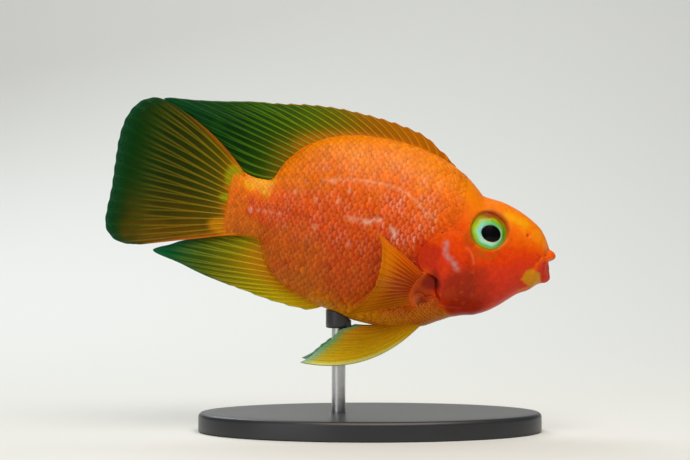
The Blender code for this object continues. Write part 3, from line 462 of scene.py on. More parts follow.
def markings(x, z):
    """The fish's colours by place in the side view: the same on its skin and its scales. Some of
    them are painted shade and painted highlights.
    """
    uneven = (z - belly(x)) / (back(x) - belly(x))
    uneven = uneven + 0.03 * waves(x, z, 3, 14) + 0.012 * waves(x, z, 4, 5)
    # from belly to back, on trunk and head: the lower flank darker red and the back brighter,
    # partly the fish's own colour and partly painted shade from the light above
    trunk = levels(
        uneven, (0, 0.05, 0.15, 0.35, 0.5, 0.64, 0.78, 0.9, 1),
        "#e49404 #dc7402 #d05402 #d04802 #dc4a02 #e85a04 #f07004 #f58203 #f08602",
    )
    head = levels(
        uneven, (0, 0.2, 0.4, 0.54, 0.7, 0.84, 1),
        "#d83202 #dc3202 #e23802 #ea4802 #f06404 #f67a03 #f27e04",
    )
    ahead = ramp(x - collar(z), -5, 2)[..., None]
    soft_x, soft_z = x + waves(x, z, 91, 6), z + waves(x, z, 92, 6)
    torn_x, torn_z = x + 0.35 * waves(x, z, 93, 1.8), z + 0.35 * waves(x, z, 94, 1.8)
    from_eye = np.hypot(x - EYE[0], z - EYE[1])

    def spot(share, *place):
        return share * spot_at(x, z, *place)

    def blot(share, *place):
        return share * spot_at(soft_x, soft_z, *place)

    def line(share, *path):
        return share * near(x, z, *path)

    yolk = ramp(-z, 25.5, 30.5) * ramp(x, -26, -14) * ramp(-x, -24, -12)
    upper_line = [(-19, 15.3), (-10, 17.0), (0, 17.6), (8, 16.6), (13, 14.2), (17, 11), (22, 8)]
    scar = line(0.7, [(-10.8, 3.7), (-3.1, 3.3), (0, 3.6), (2.4, 4.8)], 0.9) * ramp(x, -14, -1)
    dashes = [
        (-19.6, -1.7), (-6.9, -5.4), (-9.9, 13.1), (-13.3, 9.0), (-16, 15.4), (-21, 8), (-29, 9.5),
    ]
    streak = [(27.1, 0.8), (27.2, -1.8), (28.3, -3.8), (30.4, -5.3), (32.3, -7.4)]
    lilac = near((x + torn_x) / 2, (z + torn_z) / 2, streak, 0.95)
    gape = (1 - ramp(0.40 * z - x + 64.35, 0.0, 1.1)) * ramp(0.9 - z, 0, 1.0)
    kite = [(56.0, -7.4), (60.8, -9.9), (64.0, -7.1), (62.5, -4.0), (59.2, -3.0), (57.3, -4.0)]
    chin = cut_patch((2 * x + torn_x) / 3, (2 * z + torn_z) / 3, kite, 0.6)
    chin = np.maximum(chin, line(0.6, [(61, -8.9), (58.5, -10.3), (56, -11.6)], 0.5))
    # painted shade along the upper rim of the eye socket, under the brow
    brow_shade = bell(from_eye - EYE_EDGE, 0.6) * ramp(z - EYE[1] + 0.6 * (x - EYE[0]), 0, 5)
    return lay(
        trunk * (1 - ahead) + head * ahead,
        ("#cc6404", blot(0.55, (-27, -14), (15, 13))),
        ("#dc6c04", blot(0.5, (-25, 18), (13, 10))),
        ("#d44c02", blot(0.5, (-14, 4), (20, 8))),
        ("#eca004", 0.9 * yolk),
        ("#cc3e02", 0.35 * ramp(waves(x, z, 9, 6), 0.3, 1.5) * ramp(-z, -6, 6)),
        # tail root: a bright patch above, ochre below, and a dark seam along the lateral line
        ("#f4a80c", blot(0.8, (-42.3, 10.0), (6.5, 3.4))),
        ("#dc7404", blot(0.7, (-45, -6), (7, 5))),
        ("#e07006", spot(0.6, (-47.5, 3), (3, 5))),
        ("#b43402", line(0.5, [(-44, 2.8), (-34, 2.4), (-22, 1.8)], 1.0)),
        ("#ecb49c", spot(0.65, (-43.7, 0.4), (0.8, 1.3))),
        *[("#e8a484", spot(0.5, (dot, 0.7), (0.8, 0.8))) for dot in (-41, -38.5, -36, -33.2)],
        ("#d87a04", 0.6 * ramp(-soft_x, 48.0, 51.5)),
        # lateral line on the flank, pale scars on single scales, and one behind the head
        ("#f8b48c", line(0.6, upper_line, 0.5)),
        ("#f4c4ac", scar * ramp(waves(x, z, 13, 3), -1.8, 0.6)),
        *[("#f0b090", spot(0.5, dash, (0.7, 1.4))) for dash in dashes],
        ("#f4ccb8", line(0.75, [(7.2, 2.4), (8.3, 1.2), (8.4, 0.0)], 0.8)),
        # brow, cheek, the opercle with dark red blots of painted shade, and its lilac streak
        ("#f6ae04", line(0.75, [(47.5, 14.3), (51, 13.4), (54.5, 12.4)], 1.7)),
        ("#f6a010", spot(0.4, (59.4, 9), (2.4, 2.6))),
        ("#f69420", spot(0.5, (62.8, 6.6), (1.5, 2.6))),
        ("#982802", blot(0.45, (36.5, -13.5), (10.5, 10.5))),
        ("#8c2402", blot(0.5, (35.5, -14.0), (6.5, 7.0))),
        ("#ac2602", blot(0.75, (38, -20.5), (9, 4.5))),
        ("#c44008", spot(0.5, (31.5, -17), (2.6, 2.6))),
        ("#e03402", spot(0.35, (57, 0), (6, 5))),
        ("#bc2002", blot(0.7, (21.5, -6), (5.5, 7))),
        ("#c8908c", 0.8 * lilac * ramp(waves(x, z, 12, 2.4), -2.4, 0.6)),
        ("#e87c44", line(0.5, CHEEK_GLINT, 0.45)),
        ("#d85408", spot(0.5, (33, -12), (9, 11)) * ramp(waves(x, z, 17, 3.2), 0.7, 1.6)),
        # gill opening, painted dark red as shade in its hollow and orange-brown as shade on the
        # lobe's inner face, and the pectoral fin's lobe
        ("#8c1c02", blot(0.95, (24.6, -14.0), (3.6, 4.2))),
        ("#a43404", spot(0.7, (22.0, -19.0), (4.0, 3.6))),
        ("#d85404", line(0.85, LOBE, 1.6)),
        ("#e08440", spot(0.4, (20.2, -20.4), (1.2, 1.6))),
        # mouth: painted shade along its crease, orange upper jaw, blood-red gape and a yellow
        # patch on the chin
        ("#c83002", line(0.4, MOUTH_CREASE, 0.5)),
        ("#f05c02", line(0.7, JAW_BAND, 1.0)),
        ("#d03002", 0.95 * gape),
        ("#dc9404", 0.9 * chin),
        ("#f86404", 0.95 * ramp(x, 63.6, 64.6) * ramp(z, 0.2, 1.0)),
        # skin round the eye with painted shade along the socket's upper rim, and the nostril
        ("#d87c08", 0.55 * (1 - ramp(np.abs(from_eye - EYE_EDGE), 0.1, 1.3))),
        ("#a04408", blot(0.45, (35.6, 3.2), (3.0, 3.6))),
        ("#b06008", blot(0.5, (41.2, -0.6), (4.6, 1.2))),
        ("#a83c04", 0.8 * brow_shade),
        # painted shade in the nostril's pit
        ("#8c3806", 0.6 * (1 - ramp(np.hypot(x - NOSTRIL[0], z - NOSTRIL[1]), 0.2, 0.7))),
    )


def mottled(name, grain, shades, settings):
    """A material of the piece's own colours, mottled by noise between two (hue, value) shades.

    Gives the material, its tree, its shader and the noise. grain is the noise's settings.
    """
    material, tree, shader = new_material(name, settings)
    mottle = noise(tree, *grain)
    paint = add(tree, "Attribute", {"attribute_name": "markings"})
    deep, light = (
        add(tree, "HueSaturation", {"Hue": hue, "Value": value}, {"Color": paint})
        for hue, value in shades
    )
    mixed = add(tree, "Mix", {"data_type": "RGBA"}, {0: mottle, 6: deep, 7: light}, out=2)
    feed(shader, {"Base Color": mixed})
    return material, tree, shader, mottle


stations = [
    np.linspace(-52.6, -36, 26, endpoint=False), np.linspace(-36, 12, 60, endpoint=False),
    np.linspace(12, LIP_START, 180),
]
stations = np.concatenate(stations)
lips = np.array([(*row, 2.0, 2.0) for row in LIP_ROWS])
lip_path = path_through(np.vstack([body_rows(np.array([60.0, 60.6, LIP_START])), lips]))
lip_rows = lip_path(np.linspace(0.06, 1, 96))
rows = np.vstack([body_rows(stations), lip_rows])
angles = full_turn(240)
flesh = ring_points(rows, angles)
throat = np.concatenate([np.zeros(len(stations)), ramp(2.5 - lip_rows[:, 1], 0, 1.6)])
stand_off = relief(flesh[..., 0], flesh[..., 2])
stand_off *= ((1 - throat) * ramp(np.arange(len(rows)), 0, 6))[:, None]
skin_rings = flesh + grid_normals(flesh) * stand_off[..., None]
skin_rings[..., 1] += swing(skin_rings[..., 0])
paint = lay(markings(flesh[..., 0], flesh[..., 2]), ("#cc3604", throat[:, None]))
paint = np.vstack([paint.reshape(-1, 3), paint[0, 0], hex_rgb("#b42c04")])

# Living skin under a film of mucus: satin flesh, finely pebbled and mottled, with a wet gloss.
body_skin, tree, shader, mottle = mottled(
    "wet_fish_skin", (650.0, 5.0, 0.6), ((0.49, 0.82), (0.506, 1.14)),
    {
        "Roughness": 0.34, "IOR": 1.36, "Specular IOR Level": 0.2, "Coat Weight": 0.06,
        "Coat Roughness": 0.1, "Coat IOR": 1.33, "Subsurface Weight": 0.12,
        "Subsurface Scale": 0.0012, "Subsurface Radius": (1.0, 0.35, 0.12),
    },
)
gloss = add(tree, "MapRange", {"To Min": 0.28, "To Max": 0.42}, {"Value": mottle})
pebble = noise(tree, 1000 / 0.45, 3.0)
feed(shader, {"Roughness": gloss, "Normal": bump(tree, 0.5, 0.00003, pebble)})

skin = put_mesh("skin", *tube(in_place(skin_rings)), body_skin, paint)
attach(skin, "root")
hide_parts("head", "trunk", "tail")


# The gill covers: a bony plate under thin skin on each cheek, cast with the head. Its front
# edge runs under the cheek's skin and its hind edge stands free over the gill opening.
def on_side(points, side):
    """Left-hand points carried to one side (left 1, right -1), with the tail's bend, in place."""
    x, y, z = np.moveaxis(points, -1, 0)
    return in_place(np.stack([x, side * y + swing(x), z], -1))


SIDES = (("left", 1), ("right", -1))
COVER_HIND_LIFT, COVER_ROLL = 0.6, 0.36
cover_z = np.linspace(COVER_TOP + 1.6, COVER_BOTTOM - 1.2, 110)[:, None]
known = np.clip(cover_z, COVER_BOTTOM, COVER_TOP)
front, hind = cover_front(known) + 0.6, cover_hind(known)
outer_share = 1 - (1 - np.linspace(0, 1, 72)) ** 1.3
roll = np.linspace(0, math.pi, 11)[1:-1]
inner_share = np.linspace(1, 0, 16)
from_ends = np.minimum(0.5 * (cover_z[0] - cover_z), 0.4 * (cover_z - cover_z[-1]))


def cover_lift(share):
    """Height of the cover's outer face: sunk at its edges, then rising to the free edge."""
    from_front = np.maximum(share * (front - hind), 0.01)
    from_edge = from_front * from_ends / (from_front + from_ends + 0.01)
    lift = 0.02 + COVER_HIND_LIFT * share**1.8 + 0.2 * np.sin(math.pi * share**0.8)
    return lift - (0.55 + lift) * (1 - ramp(from_edge, 0.0, 2.0))


outer_x = front + (hind - front) * outer_share
outer_lift = cover_lift(outer_share[None, :])
edge_lift = outer_lift[:, -1:]
roll_x = hind - COVER_ROLL * np.sin(roll)
roll_lift = edge_lift - COVER_ROLL * (1 - np.cos(roll))
inner_x = front + (hind - front) * inner_share
inner_lift = np.minimum(edge_lift - 2 * COVER_ROLL, 0) * inner_share - 1.0 * (1 - inner_share)
inner_lift = np.minimum(inner_lift, np.minimum(edge_lift, -0.1) - 0.5)
cover_x = np.concatenate([outer_x, roll_x, inner_x], axis=1)
cover_level = cover_z + 0 * cover_x
lifts = np.concatenate([outer_lift, roll_lift, inner_lift + 0 * inner_x], axis=1)
lifts += 0.05 * waves(cover_x, cover_level, 21, 6) * (lifts > 0)
cover_rings, _ = on_flank(cover_x, cover_level, lifts)
paint = markings(cover_x, cover_level).reshape(-1, 3)
paint = np.vstack([paint, paint[0], paint[-1]])
for side_name, side in SIDES:
    rings = on_side(cover_rings, side)
    cover = put_mesh(f"gill_cover_plate_{side_name}", *tube(rings), body_skin, paint)
    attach(cover, "root")
    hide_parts(f"gill_cover_{side_name}")


# The scales: thin horny plates that lie like roof tiles in rows along the flank, each rooted in
# the skin at its front and free at its rear edge; small ones pave the breast.
PITCH, ROW = 2.35, 1.55
BREAST_PITCH, BREAST_ROW = 1.3, 0.86
AROUND = 11
SCALE_SIZES = [
    (-50, 0.6), (-46, 0.64), (-38, 0.72), (-30, 0.85), (-15, 1), (20, 1), (30, 0.85), (42, 0.62),
]
BREAST_EDGE = [
    (-6, -36), (2, -31.5), (8, -28.5), (14, -25), (19, -23), (24, -20.5), (30, -18), (40, -17),
]
SCALE_LENGTH, SCALE_HALF, SCALE_WALL = 1.72, 1.26, 0.09
ROOT_LIFT, EDGE_LIFT = -0.1, 0.12
HALF_GIRTH, SMALLEST_SIZE = 75, 0.6
BAKE_START, BAKE_LENGTH, BAKE_GIRTH, BAKE_PATCH = -56, 104, 110, 0.0015

table_x = np.linspace(-55, 44, 397)
table_s = np.linspace(-90, 90, 721)
turn = np.radians(np.linspace(-125, 125, 501))
section = ring_points(body_rows(table_x), turn)
step = np.linalg.norm(np.diff(section[..., 1:], axis=1), axis=-1)
run = np.concatenate([np.zeros((len(table_x), 1)), np.cumsum(step, axis=1)], axis=1)
unrolled = []
for one_run, one_section in zip(run, section):
    middle = np.interp(0.0, one_section[125:-125, 2], one_run[125:-125])
    unrolled.append([np.interp(table_s + middle, one_run, one_section[:, k]) for k in (1, 2)])
unrolled = np.array(unrolled)
surface = np.stack([table_x[:, None] + 0 * table_s, unrolled[:, 0], unrolled[:, 1]], -1)
outward = np.cross(np.gradient(surface, axis=1), np.gradient(surface, axis=0))
outward /= np.maximum(np.linalg.norm(outward, axis=-1, keepdims=True), 1e-9)


def unroll(x, s, lift):
    """The flank at x and arc distance s from its middle line, by mixing four table places."""
    i = np.clip((x - table_x[0]) / (table_x[1] - table_x[0]), 0, len(table_x) - 1.001)
    j = np.clip((s - table_s[0]) / (table_s[1] - table_s[0]), 0, len(table_s) - 1.001)
    low_i, low_j = i.astype(int), j.astype(int)
    u, v = (i - low_i)[..., None], (j - low_j)[..., None]

    def mixed(grid):
        low = grid[low_i, low_j] * (1 - u) + grid[low_i + 1, low_j] * u
        high = grid[low_i, low_j + 1] * (1 - u) + grid[low_i + 1, low_j + 1] * u
        return low * (1 - v) + high * v

    return mixed(surface) + mixed(outward) * lift[..., None]


size_at = line_through(SCALE_SIZES)
breast_edge = line_through(BREAST_EDGE)
pace = 1 / size_at(table_x)
columns_run = np.concatenate([[0], np.cumsum((pace[1:] + pace[:-1]) / 2 * np.diff(table_x))])

# One scale: eleven points round it, from its rear half-oval to its squared root, in pitches
# behind the root and in rows beside it, with three rings of points about its middle.
rear = np.radians(np.linspace(-90, 90, 7))
outline_a = np.concatenate([0.8 + (SCALE_LENGTH - 0.8) * np.cos(rear), [0.28, 0.0, 0.0, 0.28]])
outline_b = np.concatenate([SCALE_HALF * np.sin(rear), [1.0, 0.45, -0.45, -1.0]])
shares = np.repeat([0.45, 0.82, 1.0, 1.0], AROUND)
unit_a = np.concatenate([[0.85], 0.85 + (np.tile(outline_a, 4) - 0.85) * shares, [0.85]])
unit_b = np.concatenate([[0.0], np.tile(outline_b, 4) * shares, [0.0]])
under = 1 + 3 * AROUND
on_top = np.repeat([1, 0], [under, AROUND + 1])
ring = np.arange(AROUND)
after = np.roll(ring, -1)
band = np.stack([ring, after, after + AROUND, ring + AROUND], -1) + 1
scale_quads = np.concatenate([band + AROUND * k for k in range(3)])
fans = [[0 * ring, after + 1, ring + 1], [0 * ring + under + AROUND, ring + under, after + under]]
scale_tris = np.concatenate([np.stack(fan, -1) for fan in fans])


def lay_scales(pitch, row, keep, maker):
    """Scales on a lattice of rows, every other row half a pitch on, where keep allows them.

    keep takes x and z of each scale's root and of its middle. Gives each scale's points, their
    places on it (0 at the root to 1 at the free edge, and -1 to 1 across), and its root's x, its
    root's arc distance and how far it stands out of the skin (0 to 1).
    """
    half_rows = int(HALF_GIRTH / (row * SMALLEST_SIZE))
    ranks, columns = np.arange(-half_rows, half_rows + 1), np.arange(int(columns_run[-1] / pitch))
    rows_k, columns_k = np.meshgrid(ranks, columns, indexing="ij")
    place = (columns_k + 0.5 * (rows_k % 2)).ravel() + maker.normal(0, 0.03, rows_k.size)
    rank = rows_k.ravel() + maker.normal(0, 0.03, rows_k.size)
    root_x = np.interp(place * pitch, columns_run, table_x)
    root_s = rank * row * size_at(root_x)
    root = unroll(root_x, root_s, 0 * root_x)
    mid_x = root_x - pitch * size_at(root_x)
    mid = unroll(mid_x, rank * row * size_at(mid_x), 0 * mid_x)
    good = keep(root[:, 0], root[:, 2], mid[:, 0], mid[:, 2]) & (root[:, 1] > -0.6)
    place, rank, root_x, root_s = place[good], rank[good], root_x[good], root_s[good]
    count = len(place)
    grow = 1 + maker.normal(0, 0.045, count)[:, None]
    lean = maker.normal(0, 0.05, count)[:, None]
    a, b = unit_a * grow, (unit_b + lean * (unit_a - 0.3)) * grow
    x = np.interp((place[:, None] - a) * pitch, columns_run, table_x)
    size = size_at(x) * pitch / PITCH
    s = (rank[:, None] + b) * row * size_at(x)
    tip_up = 1 + maker.normal(0, 0.12, count)[:, None]
    at_x, at_z = mid[good][:, 0], mid[good][:, 2]
    emerged = ramp(collar(at_z) - at_x, -2.0, 7.0)
    emerged = (emerged * ramp(scaled_share(at_x, at_z), 0.3, 0.95))[:, None]
    flat = unroll(x, s, 0 * x)
    lift = ROOT_LIFT + (EDGE_LIFT - ROOT_LIFT) * tip_up * a / SCALE_LENGTH
    lift = (lift + 0.05 * (1 - (unit_b / SCALE_HALF) ** 2)) * np.clip(size, 0.6, 1) + COAT_DEPTH
    buried = 0.15 * a / SCALE_LENGTH - 0.12
    lift = lift * emerged + buried * (1 - emerged) - (1 - on_top) * SCALE_WALL
    lift = lift - COAT_DEPTH * scaled_share(flat[..., 0], flat[..., 2])
    points = unroll(x, s, lift)
    spread = np.stack([unit_a / SCALE_LENGTH, unit_b / SCALE_HALF], -1)
    spread = np.broadcast_to(spread, (*a.shape, 2))
    return points, spread, np.stack([root_x, root_s, emerged[:, 0]], -1)


def keep_flank(x, z, mid_x, mid_z):
    """Behind the collar and above the breast, up to an uneven end on the tail's root."""
    bare = np.minimum(scaled_share(mid_x, mid_z), scaled_share(mid_x - 0.6, mid_z)) > 0.3
    tail_end = -51.0 + 0.8 * waves(mid_x, mid_z, 71, 4)
    return bare & (x < collar(z) + 1.6) & (mid_x > tail_end) & (mid_z > breast_edge(mid_x) - 0.6)


def keep_breast(x, z, mid_x, mid_z):
    """Below the breast's edge and behind the gill covers."""
    bare = scaled_share(mid_x, mid_z) > 0.4
    near_chin = x < np.interp(z, [-34, -26, -22, -17], [39.0, 36.4, 32.0, 28.0])
    return bare & near_chin & (mid_z < breast_edge(mid_x)) & (mid_x > -4)


def scale_colours(points, spread, roots, net, maker):
    """Markings on each scale, with a paler free edge (on flank scales a faint painted glint),
    painted shade where the scale in front laps over it, and brighter painted glints on some.
    """
    x, z = points[..., 0], points[..., 2]
    back_share, count = spread[..., 0], len(points)
    tone = (1 + maker.normal(0, 0.09, count))[:, None, None]
    # painted shade just behind the edge of the scale in front, which laps over this one
    overlap_shade = roots[:, 2:] ** 2 * bell(back_share - 0.5, 0.15)
    paint = markings(x, z) * tone * (1 - overlap_shade[..., None] * np.array([0.14, 0.36, 0.5]))
    root_x, root_z = x[:, 0], z[:, 0]
    shine = 0.04
    for most, *place in (
        (0.75, (0, 21), (26, 8)), (1.3, (14, 8), (13, 13)), (0.5, (-12, 6), (34, 16)),
    ):
        shine = np.maximum(shine, most * spot_at(root_x, root_z, *place))
    shine = shine * (0.3 + 0.7 * roots[:, 2])
    shine = shine * (0.2 + 0.8 * ramp(waves(root_x, root_z, 61, 7), -1.0, 1.2))
    shine = shine * maker.uniform(0.1, 1.3, count)
    crescent = bell(back_share - 0.87, 0.08) * (1 - 0.7 * np.abs(spread[..., 1]))
    # plain: a faint painted glint on the free edge of scales that have no strong glint
    plain = crescent * (1 - np.clip(shine, 0, 1))[:, None] * ramp(waves(x, z, 62, 4), -1.6, 1.0)
    glint, upper = shine[:, None] * crescent, ramp(z, 20, 31)
    streak = ramp(-z, -2, 8) * maker.uniform(0, 1, count)[:, None]
    rim = ramp(back_share + 0.35 * spread[..., 1] ** 2, 0.78, 0.95)
    return lay(
        paint,
        ("#f08420", 0.5 * plain * roots[:, 2:]),
        ("#f2a488", 0.85 * glint * (1 - upper)),
        ("#f6b878", 0.8 * glint * upper),
        ("#8c3208", 0.5 * streak * bell(back_share - 0.7, 0.2)),
        ("#c04404", 0.4 * net[:, None] * (1 - rim)),
        ("#f8a03c", 0.35 * net[:, None] * rim),
    )


# Scales are clear horn over coloured skin: a wet gloss, and faint growth rings about the root.
scale_skin, tree, shader, mottle = mottled(
    "fish_scales", (900.0, 4.0), ((0.49, 0.84), (0.506, 1.14)),
    {
        "Roughness": 0.36, "IOR": 1.38, "Specular IOR Level": 0.18, "Coat Weight": 0.05,
        "Coat Roughness": 0.1, "Coat IOR": 1.36, "Subsurface Weight": 0.1,
        "Subsurface Scale": 0.0008, "Subsurface Radius": (1.0, 0.35, 0.12),
    },
)
place = add(tree, "Attribute", {"attribute_name": "scale_place"}, out="Vector")
place = add(tree, "VectorMath", {"operation": "MULTIPLY", 1: (1.0, 0.8, 0.0)}, {0: place})
radius = add(tree, "VectorMath", {"operation": "LENGTH"}, {0: place}, out="Value")
growth = add(tree, "Math", {"operation": "MULTIPLY", 1: 52.0}, {0: radius})
growth = add(tree, "Math", {"operation": "SINE"}, {0: growth})
gloss = add(tree, "MapRange", {"To Min": 0.24, "To Max": 0.4}, {"Value": mottle})
feed(shader, {"Roughness": gloss, "Normal": bump(tree, 0.35, 0.00002, growth)})

for side_name, side, seed in (("left", 1, 51), ("right", -1, 52)):
    maker = np.random.default_rng(seed)
    flank_set = lay_scales(PITCH, ROW, keep_flank, maker)
    breast_set = lay_scales(BREAST_PITCH, BREAST_ROW, keep_breast, maker)
    points, spread, roots = (np.concatenate(pair) for pair in zip(flank_set, breast_set))
    net = np.repeat([0.0, 1.0], [len(flank_set[0]), len(breast_set[0])])
    paint = scale_colours(points, spread, roots, net, maker)
    count, per = points.shape[:2]
    start = (np.arange(count) * per)[:, None, None]
    quads = (scale_quads[None] + start).reshape(-1, 4)
    tris = (scale_tris[None] + start).reshape(-1, 3)
    points = on_side(points.reshape(-1, 3), side)
    paint = paint.reshape(-1, 3)
    coat = put_mesh(f"scales_{side_name}", points, [quads, tris], scale_skin, paint)
    place = coat.data.attributes.new("scale_place", "FLOAT_VECTOR", "POINT")
    flat = np.zeros((count * per, 3), np.float32)
    flat[:, :2] = spread.reshape(-1, 2)
    place.data.foreach_set("vector", flat.ravel())
    # Each scale gets a small patch in the bake map at its root's place on the unrolled flank.
    along, round_it = (roots[:, 0] - BAKE_START) / BAKE_LENGTH, 0.5 + roots[:, 1] / BAKE_GIRTH
    patch = np.stack([along, round_it], -1)[:, None, :]
    uv = patch + BAKE_PATCH * (spread - np.array([0.5, 0.0])) * np.array([2.0, 1.0])
    corner_of = np.empty(len(coat.data.loops), np.int32)
    coat.data.loops.foreach_get("vertex_index", corner_of)
    layer = coat.data.uv_layers.new(name="OFBake")
    layer.data.foreach_set("uv", uv.reshape(-1, 2)[corner_of].astype(np.float32).ravel())
    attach(coat, "root")
    print("scales", side_name, count, "triangles", len(quads) * 2 + len(tris))


# The eyes: glass eyes painted from behind, as a taxidermist sets them: a black pupil in a green
# and gold iris under a clear dome, each seated in its socket inside a low roll of skin.
EYE_SINK, EYE_RADIUS, DOME_RADIUS, DOME_HEIGHT = 1.0, 6.85, 6.75, 3.1
PUPIL_AT, PUPIL_SIZE = (0.65, -1.15), (3.6, 3.0)
IRIS_SHARES = [0.0, 0.08, 0.32, 0.48, 0.62, 0.86, 1.0]
# Iris colours outward from the pupil, towards the front, the top, the rear and the bottom. The
# browns at the outer top are painted shade from the brow.
IRIS_COLOURS = [
    "#607458 #a4cca0 #589830 #3c7c10 #5c900c #94900c #9c6c08",
    "#40684c #60bc80 #74b80c #a4b008 #a45804 #903804 #882c04",
    "#507868 #84ccc4 #8cd4c0 #a0d45c #a8c428 #8ca010 #707010",
    "#a89068 #d4dcb4 #b4f0d4 #8ce4bc #64c870 #98b414 #a88408",
]

eye_point, eye_out = (part[0] for part in on_flank(np.array([EYE[0]]), np.array([EYE[1]])))
eye_ahead = np.array([1.0, 0, 0]) - eye_out * eye_out[0]
eye_ahead /= np.linalg.norm(eye_ahead)
eye_up = np.cross(eye_ahead, eye_out)
eye_middle = eye_point - eye_out * EYE_SINK


def about_eye(ahead, up, out):
    """Points from distances along the eye's own three axes."""
    parts = np.stack([ahead, up, out], -1)
    return eye_middle + parts @ np.stack([eye_ahead, eye_up, eye_out])


turn = full_turn(144)
cos, sin = np.cos(turn), np.sin(turn)
pupil_share = np.linspace(0.05, 1, 14)[:, None]
iris_share = np.linspace(0, 1, 44)[:, None]
lens_ahead = PUPIL_AT[0] + PUPIL_SIZE[0] * pupil_share * cos
lens_up = PUPIL_AT[1] + PUPIL_SIZE[1] * pupil_share * sin
iris_ahead, iris_up = (
    middle * (1 - iris_share) + (size + (EYE_RADIUS - size) * iris_share) * way
    for middle, size, way in zip(PUPIL_AT, PUPIL_SIZE, (cos, sin))
)


def iris_height(ahead, up):
    """The iris as a shallow dome that falls from 2.1 mm to 0.2 mm over the eye's equator."""
    far = np.clip(np.hypot(ahead, up) / EYE_RADIUS, 0, 1)
    return 0.2 + 1.9 * (1 - far**2.4) ** 0.9


fibres = np.sin(turn * 46 + 3 * np.sin(turn * 5))
fold = 0.05 * fibres * np.sin(math.pi * iris_share) ** 1.5
iris_out = iris_height(iris_ahead, iris_up) + fold - 0.12 * bell(iris_share, 0.06)
lens_out = iris_height(lens_ahead, lens_up) - 0.1 + 0.45 * np.sqrt(1 - 0.999 * pupil_share**2)
back_radius = np.array([6.8, 6.4, 4.6, 2.4])[:, None]
back_out = np.array([-0.3, -1.6, -3.2, -4.0])[:, None] + 0 * turn
ball = [
    about_eye(lens_ahead, lens_up, lens_out), about_eye(iris_ahead, iris_up, iris_out),
    about_eye(back_radius * cos, back_radius * sin, back_out),
]
ball = np.concatenate(ball)
blur = np.clip(iris_share + 0.05 * np.sin(turn * 7 + 1) * np.sin(math.pi * iris_share), 0, 1)
ways = np.stack([levels(blur, IRIS_SHARES, way) for way in IRIS_COLOURS])
quarter = (turn / (math.pi / 2)) % 4
low, here = quarter.astype(int), np.arange(len(turn))
mix = ramp(quarter - low, 0, 1)[:, None, None]
iris_paint = ways[low, :, here] * (1 - mix) + ways[(low + 1) % 4, :, here] * mix
iris_paint = iris_paint.swapaxes(0, 1) * (1 + 0.1 * fibres)[:, None]
iris_paint = lay(iris_paint, ("#050505", 1 - ramp(iris_share, 0.0, 0.035))).reshape(-1, 3)
black, brown = hex_rgb("#040405")[None], hex_rgb("#7a4a14")[None]
eye_paint = [black.repeat(lens_ahead.size, 0), iris_paint, brown.repeat(back_out.size, 0)]
eye_paint = np.concatenate([*eye_paint, black, brown])

# Paint on the back of glass: an even satin with fine radial fibres, dark where the pupil is.
iris_glass, tree, shader, mottle = mottled(
    "painted_glass_eye", (2600.0, 4.0), ((0.5, 0.82), (0.5, 1.18)),
    {"Roughness": 0.4, "IOR": 1.45, "Specular IOR Level": 0.04},
)

# Clear glass over the iris: nothing to see but its edge and the lamps that it mirrors.
cornea_glass, tree, shader = new_material("clear_glass_dome", {})
tree.nodes.remove(shader)
turned = add(tree, "LayerWeight", {"Blend": 0.5}, out="Facing")
steep = add(tree, "Math", {"operation": "POWER", 1: 5.0}, {0: turned})
shine = add(tree, "MapRange", {"To Min": 0.006, "To Max": 0.14}, {"Value": steep})
clear, mirror = add(tree, "BsdfTransparent"), add(tree, "BsdfGlossy", {"Roughness": 0.03})
both = add(tree, "MixShader", {}, {0: shine, 1: clear, 2: mirror})
feed(tree.nodes["Material Output"], {"Surface": both})

dome_share = np.linspace(0.03, 1, 26)[:, None]
dome_radius = DOME_RADIUS * np.concatenate([dome_share, dome_share[::-1] * 0.985])
dome_out = 0.5 + DOME_HEIGHT * (1 - 0.985 * dome_share**2) ** 0.75
dome_out = np.concatenate([dome_out, dome_out[::-1] - 0.16]) + 0 * turn
dome = about_eye(dome_radius * cos, dome_radius * sin, dome_out)


def round_eye(far):
    """Side view of circles about the eye, at distances far along its face."""
    return (EYE[k] + far * (cos * eye_ahead[2 * k] + sin * eye_up[2 * k]) for k in (0, 1))


# The roll of skin: rings about the eye that lie on the flank outside and turn in at the eye.
fold_far = np.array([10.2, 9.5, 8.9, 8.4, 8.0, 7.7, 7.45, 7.25, 7.1, 7.0, 6.9, 6.7, 6.3])
fold_lift = [-0.4, -0.06, 0.04, 0.08, 0.11, 0.13, 0.1, 0.02, -0.12, -0.35, -0.8, -1.4, -2.2]
fold_x, fold_z = round_eye(fold_far[:, None])
under_x, under_z = round_eye(np.linspace(6.4, 9.9, 8)[:, None])
fold_lift = np.array(fold_lift)[:, None] + 0.05 * waves(fold_x, fold_z, 31, 4)
outer_roll, _ = on_flank(fold_x, fold_z, fold_lift)
under_roll, _ = on_flank(under_x, under_z, np.linspace(-2.6, -0.9, 8)[:, None] + 0 * turn)
roll_points = np.concatenate([outer_roll, under_roll]).reshape(-1, 3)
ring = np.arange(len(roll_points)).reshape(-1, len(turn))
over = np.roll(ring, -1, axis=1)
roll_faces = np.stack([ring, over, np.roll(over, -1, axis=0), np.roll(ring, -1, axis=0)], -1)
roll_faces = roll_faces.reshape(-1, 4)
roll_paint = np.concatenate([markings(fold_x, fold_z), markings(under_x, under_z)]).reshape(-1, 3)

for side_name, side in SIDES:
    eye = put_mesh(f"glass_eye_{side_name}", *tube(on_side(ball, side)), iris_glass, eye_paint)
    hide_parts(f"eye_{side_name}")
    dome_rings = on_side(dome, side)
    clear_dome = put_mesh(f"clear_dome_{side_name}", *tube(dome_rings), cornea_glass)
    roll = on_side(roll_points, side)
    lid = put_mesh(f"eye_roll_{side_name}", roll, [roll_faces], body_skin, roll_paint)
    for piece, slot in ((eye, "eye"), (clear_dome, "eye"), (lid, "head_skin")):
        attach(piece, "root")


